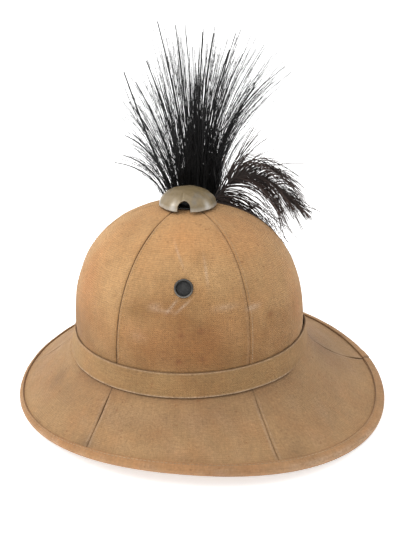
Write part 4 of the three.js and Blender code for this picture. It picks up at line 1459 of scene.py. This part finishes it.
def feather():
    """Drooping feather: a bent shaft with vanes of barbs and a few stray ones, as tubes."""
    draw = np.random.default_rng(FEATHER.seed)
    angle = math.radians(FEATHER.angle)
    outward = np.array([math.cos(angle), math.sin(angle), 0])
    side = np.array([math.sin(angle), -math.cos(angle), 0])
    bends = np.array([[CROWN_X, 0, POLE + row["up"]] + row["out"] * outward for row in SHAFT])
    stations = np.linspace(0, 1, QUILL.steps)
    line = clear_of_crown(catmull_rom(bends, stations), QUILL.clear)
    quill_radius = QUILL.radius - QUILL.thins * stations
    quill, quill_faces = tubes(line[None], quill_radius[None], QUILL.sides)
    way = np.linspace(0, 1, FEATHER.steps)
    barbs = [vane_barbs(draw, vane, bends, outward, side, way) for vane in VANES]
    strays = stray_barbs(draw, bends, outward, way)
    paths = clear_of_crown(np.concatenate(barbs + [strays]), FEATHER.clear)
    single = np.arange(len(paths)) >= len(paths) - len(strays)
    heavy = np.where(single, FEATHER.stray, 1.0)
    thins = np.where(single, FEATHER.stray_thins, FEATHER.thins)[:, None] * way[None, :] ** 2
    thick = (draw.uniform(*FEATHER.radius, len(paths)) * heavy)[:, None] * (1 - thins)
    vanes, vane_faces = tubes(paths, thick, FEATHER.sides)
    points = np.concatenate([quill.reshape(-1, 3), vanes.reshape(-1, 3)])
    quill_count = len(points) - vanes.size // 3
    faces = quill_faces + [[k + quill_count for k in face] for face in vane_faces]
    tone = draw.uniform(FEATHER.least_tone, 1, len(paths)) ** 2 / heavy ** 2
    tone = np.repeat(tone, FEATHER.steps * FEATHER.sides)
    along = FEATHER.least_along + (1 - FEATHER.least_along) * way
    along = np.tile(np.repeat(along, FEATHER.sides), len(paths))
    marks = {"tone": np.concatenate([np.full(quill_count, QUILL.tone), tone]),
             "along": np.concatenate([np.full(quill_count, QUILL.along), along])}
    return add_piece("feather_barbs", points, faces, BROWN_BARBS, ["feather"],
                     marks=marks, sharp=ALL_SMOOTH)


plume()
feather()


# Floor, light and camera

# Half the floor's side in metres, its tint and its own light, which whitens it as in the photograph
FLOOR = Named(half=40.0, tint=(0.95, 0.95, 0.95, 1), glow=0.56, roughness=0.9)

# Spans of direction and the strength of the surroundings over them: depth, height and side
STUDIO = Named(depth=(-0.6, 0.5, 0.42, 0.95), above=(0.0, 1.0, 0.0, 0.6),
               aside=(-1.0, 1.0, 0.19, -0.19))

# The broad light, in metres and watts, and the point that it faces
KEY = Named(place=(-0.75, -0.35, 1.2), size=0.8, power=8.0, tint=(1, 0.98, 0.95),
            target=(0, 0, 0.1))
WHITE = (1, 1, 1, 1)


def floor():
    """Plain pale floor under the rim."""
    mesh = bpy.data.meshes.new("floor")
    half = FLOOR.half
    corners = [(-half, -half, 0), (half, -half, 0), (half, half, 0), (-half, half, 0)]
    mesh.from_pydata(corners, [], [(0, 1, 2, 3)])
    made, _, shader, _ = new_material("pale_floor", FLOOR.roughness)
    shader.inputs["Base Color"].default_value = FLOOR.tint
    shader.inputs["Emission Color"].default_value = WHITE
    shader.inputs["Emission Strength"].default_value = FLOOR.glow
    mesh.materials.append(made)
    plane = bpy.data.objects.new("floor", mesh)
    bpy.context.scene.collection.objects.link(plane)


def soft_light():
    """Square area light from the upper left that faces the crown."""
    light = bpy.data.lights.new("key", "AREA")
    light.size, light.energy, light.color = KEY.size, KEY.power, KEY.tint
    lamp = bpy.data.objects.new("key", light)
    lamp.location = KEY.place
    way = np.array(KEY.target) - np.array(KEY.place)
    yaw, reach = math.atan2(way[1], way[0]), math.hypot(way[0], way[1])
    lamp.rotation_euler = (math.atan2(reach, -way[2]), 0, yaw - math.pi / 2)
    bpy.context.scene.collection.objects.link(lamp)


def studio():
    """Soft white surroundings, brighter above, behind and to the left."""
    world = bpy.data.worlds.new("studio")
    world.use_nodes = True
    tree = world.node_tree
    place = shader_node(tree, "ShaderNodeTexCoord").outputs["Generated"]
    way = shader_node(tree, "ShaderNodeSeparateXYZ", {0: place}).outputs
    depth = span(tree, way["Y"], *STUDIO.depth)
    above = span(tree, way["Z"], *STUDIO.above)
    aside = span(tree, way["X"], *STUDIO.aside)
    strength = math_node(tree, "ADD", math_node(tree, "ADD", depth, above), aside)
    tree.links.new(strength, tree.nodes["Background"].inputs["Strength"])
    tree.nodes["Background"].inputs["Color"].default_value = WHITE
    bpy.context.scene.world = world
    bpy.context.scene.view_settings.view_transform = "Standard"


def camera():
    """Camera at the photograph's angle, aimed at a point inside the crown."""
    azimuth, elevation = math.radians(CAMERA.azimuth), math.radians(CAMERA.elevation)
    level = math.cos(elevation)
    back = np.array([math.sin(azimuth) * level, -math.cos(azimuth) * level, math.sin(elevation)])
    data = bpy.data.cameras.new("camera")
    data.lens = CAMERA.lens
    data.sensor_width = CAMERA.sensor
    eye = bpy.data.objects.new("camera", data)
    eye.location = (np.array(AIM) + back * CAMERA.distance) * MM
    eye.rotation_euler = (math.pi / 2 - elevation, 0, azimuth)
    bpy.context.scene.collection.objects.link(eye)
    bpy.context.scene.camera = eye


floor()
studio()
soft_light()
camera()
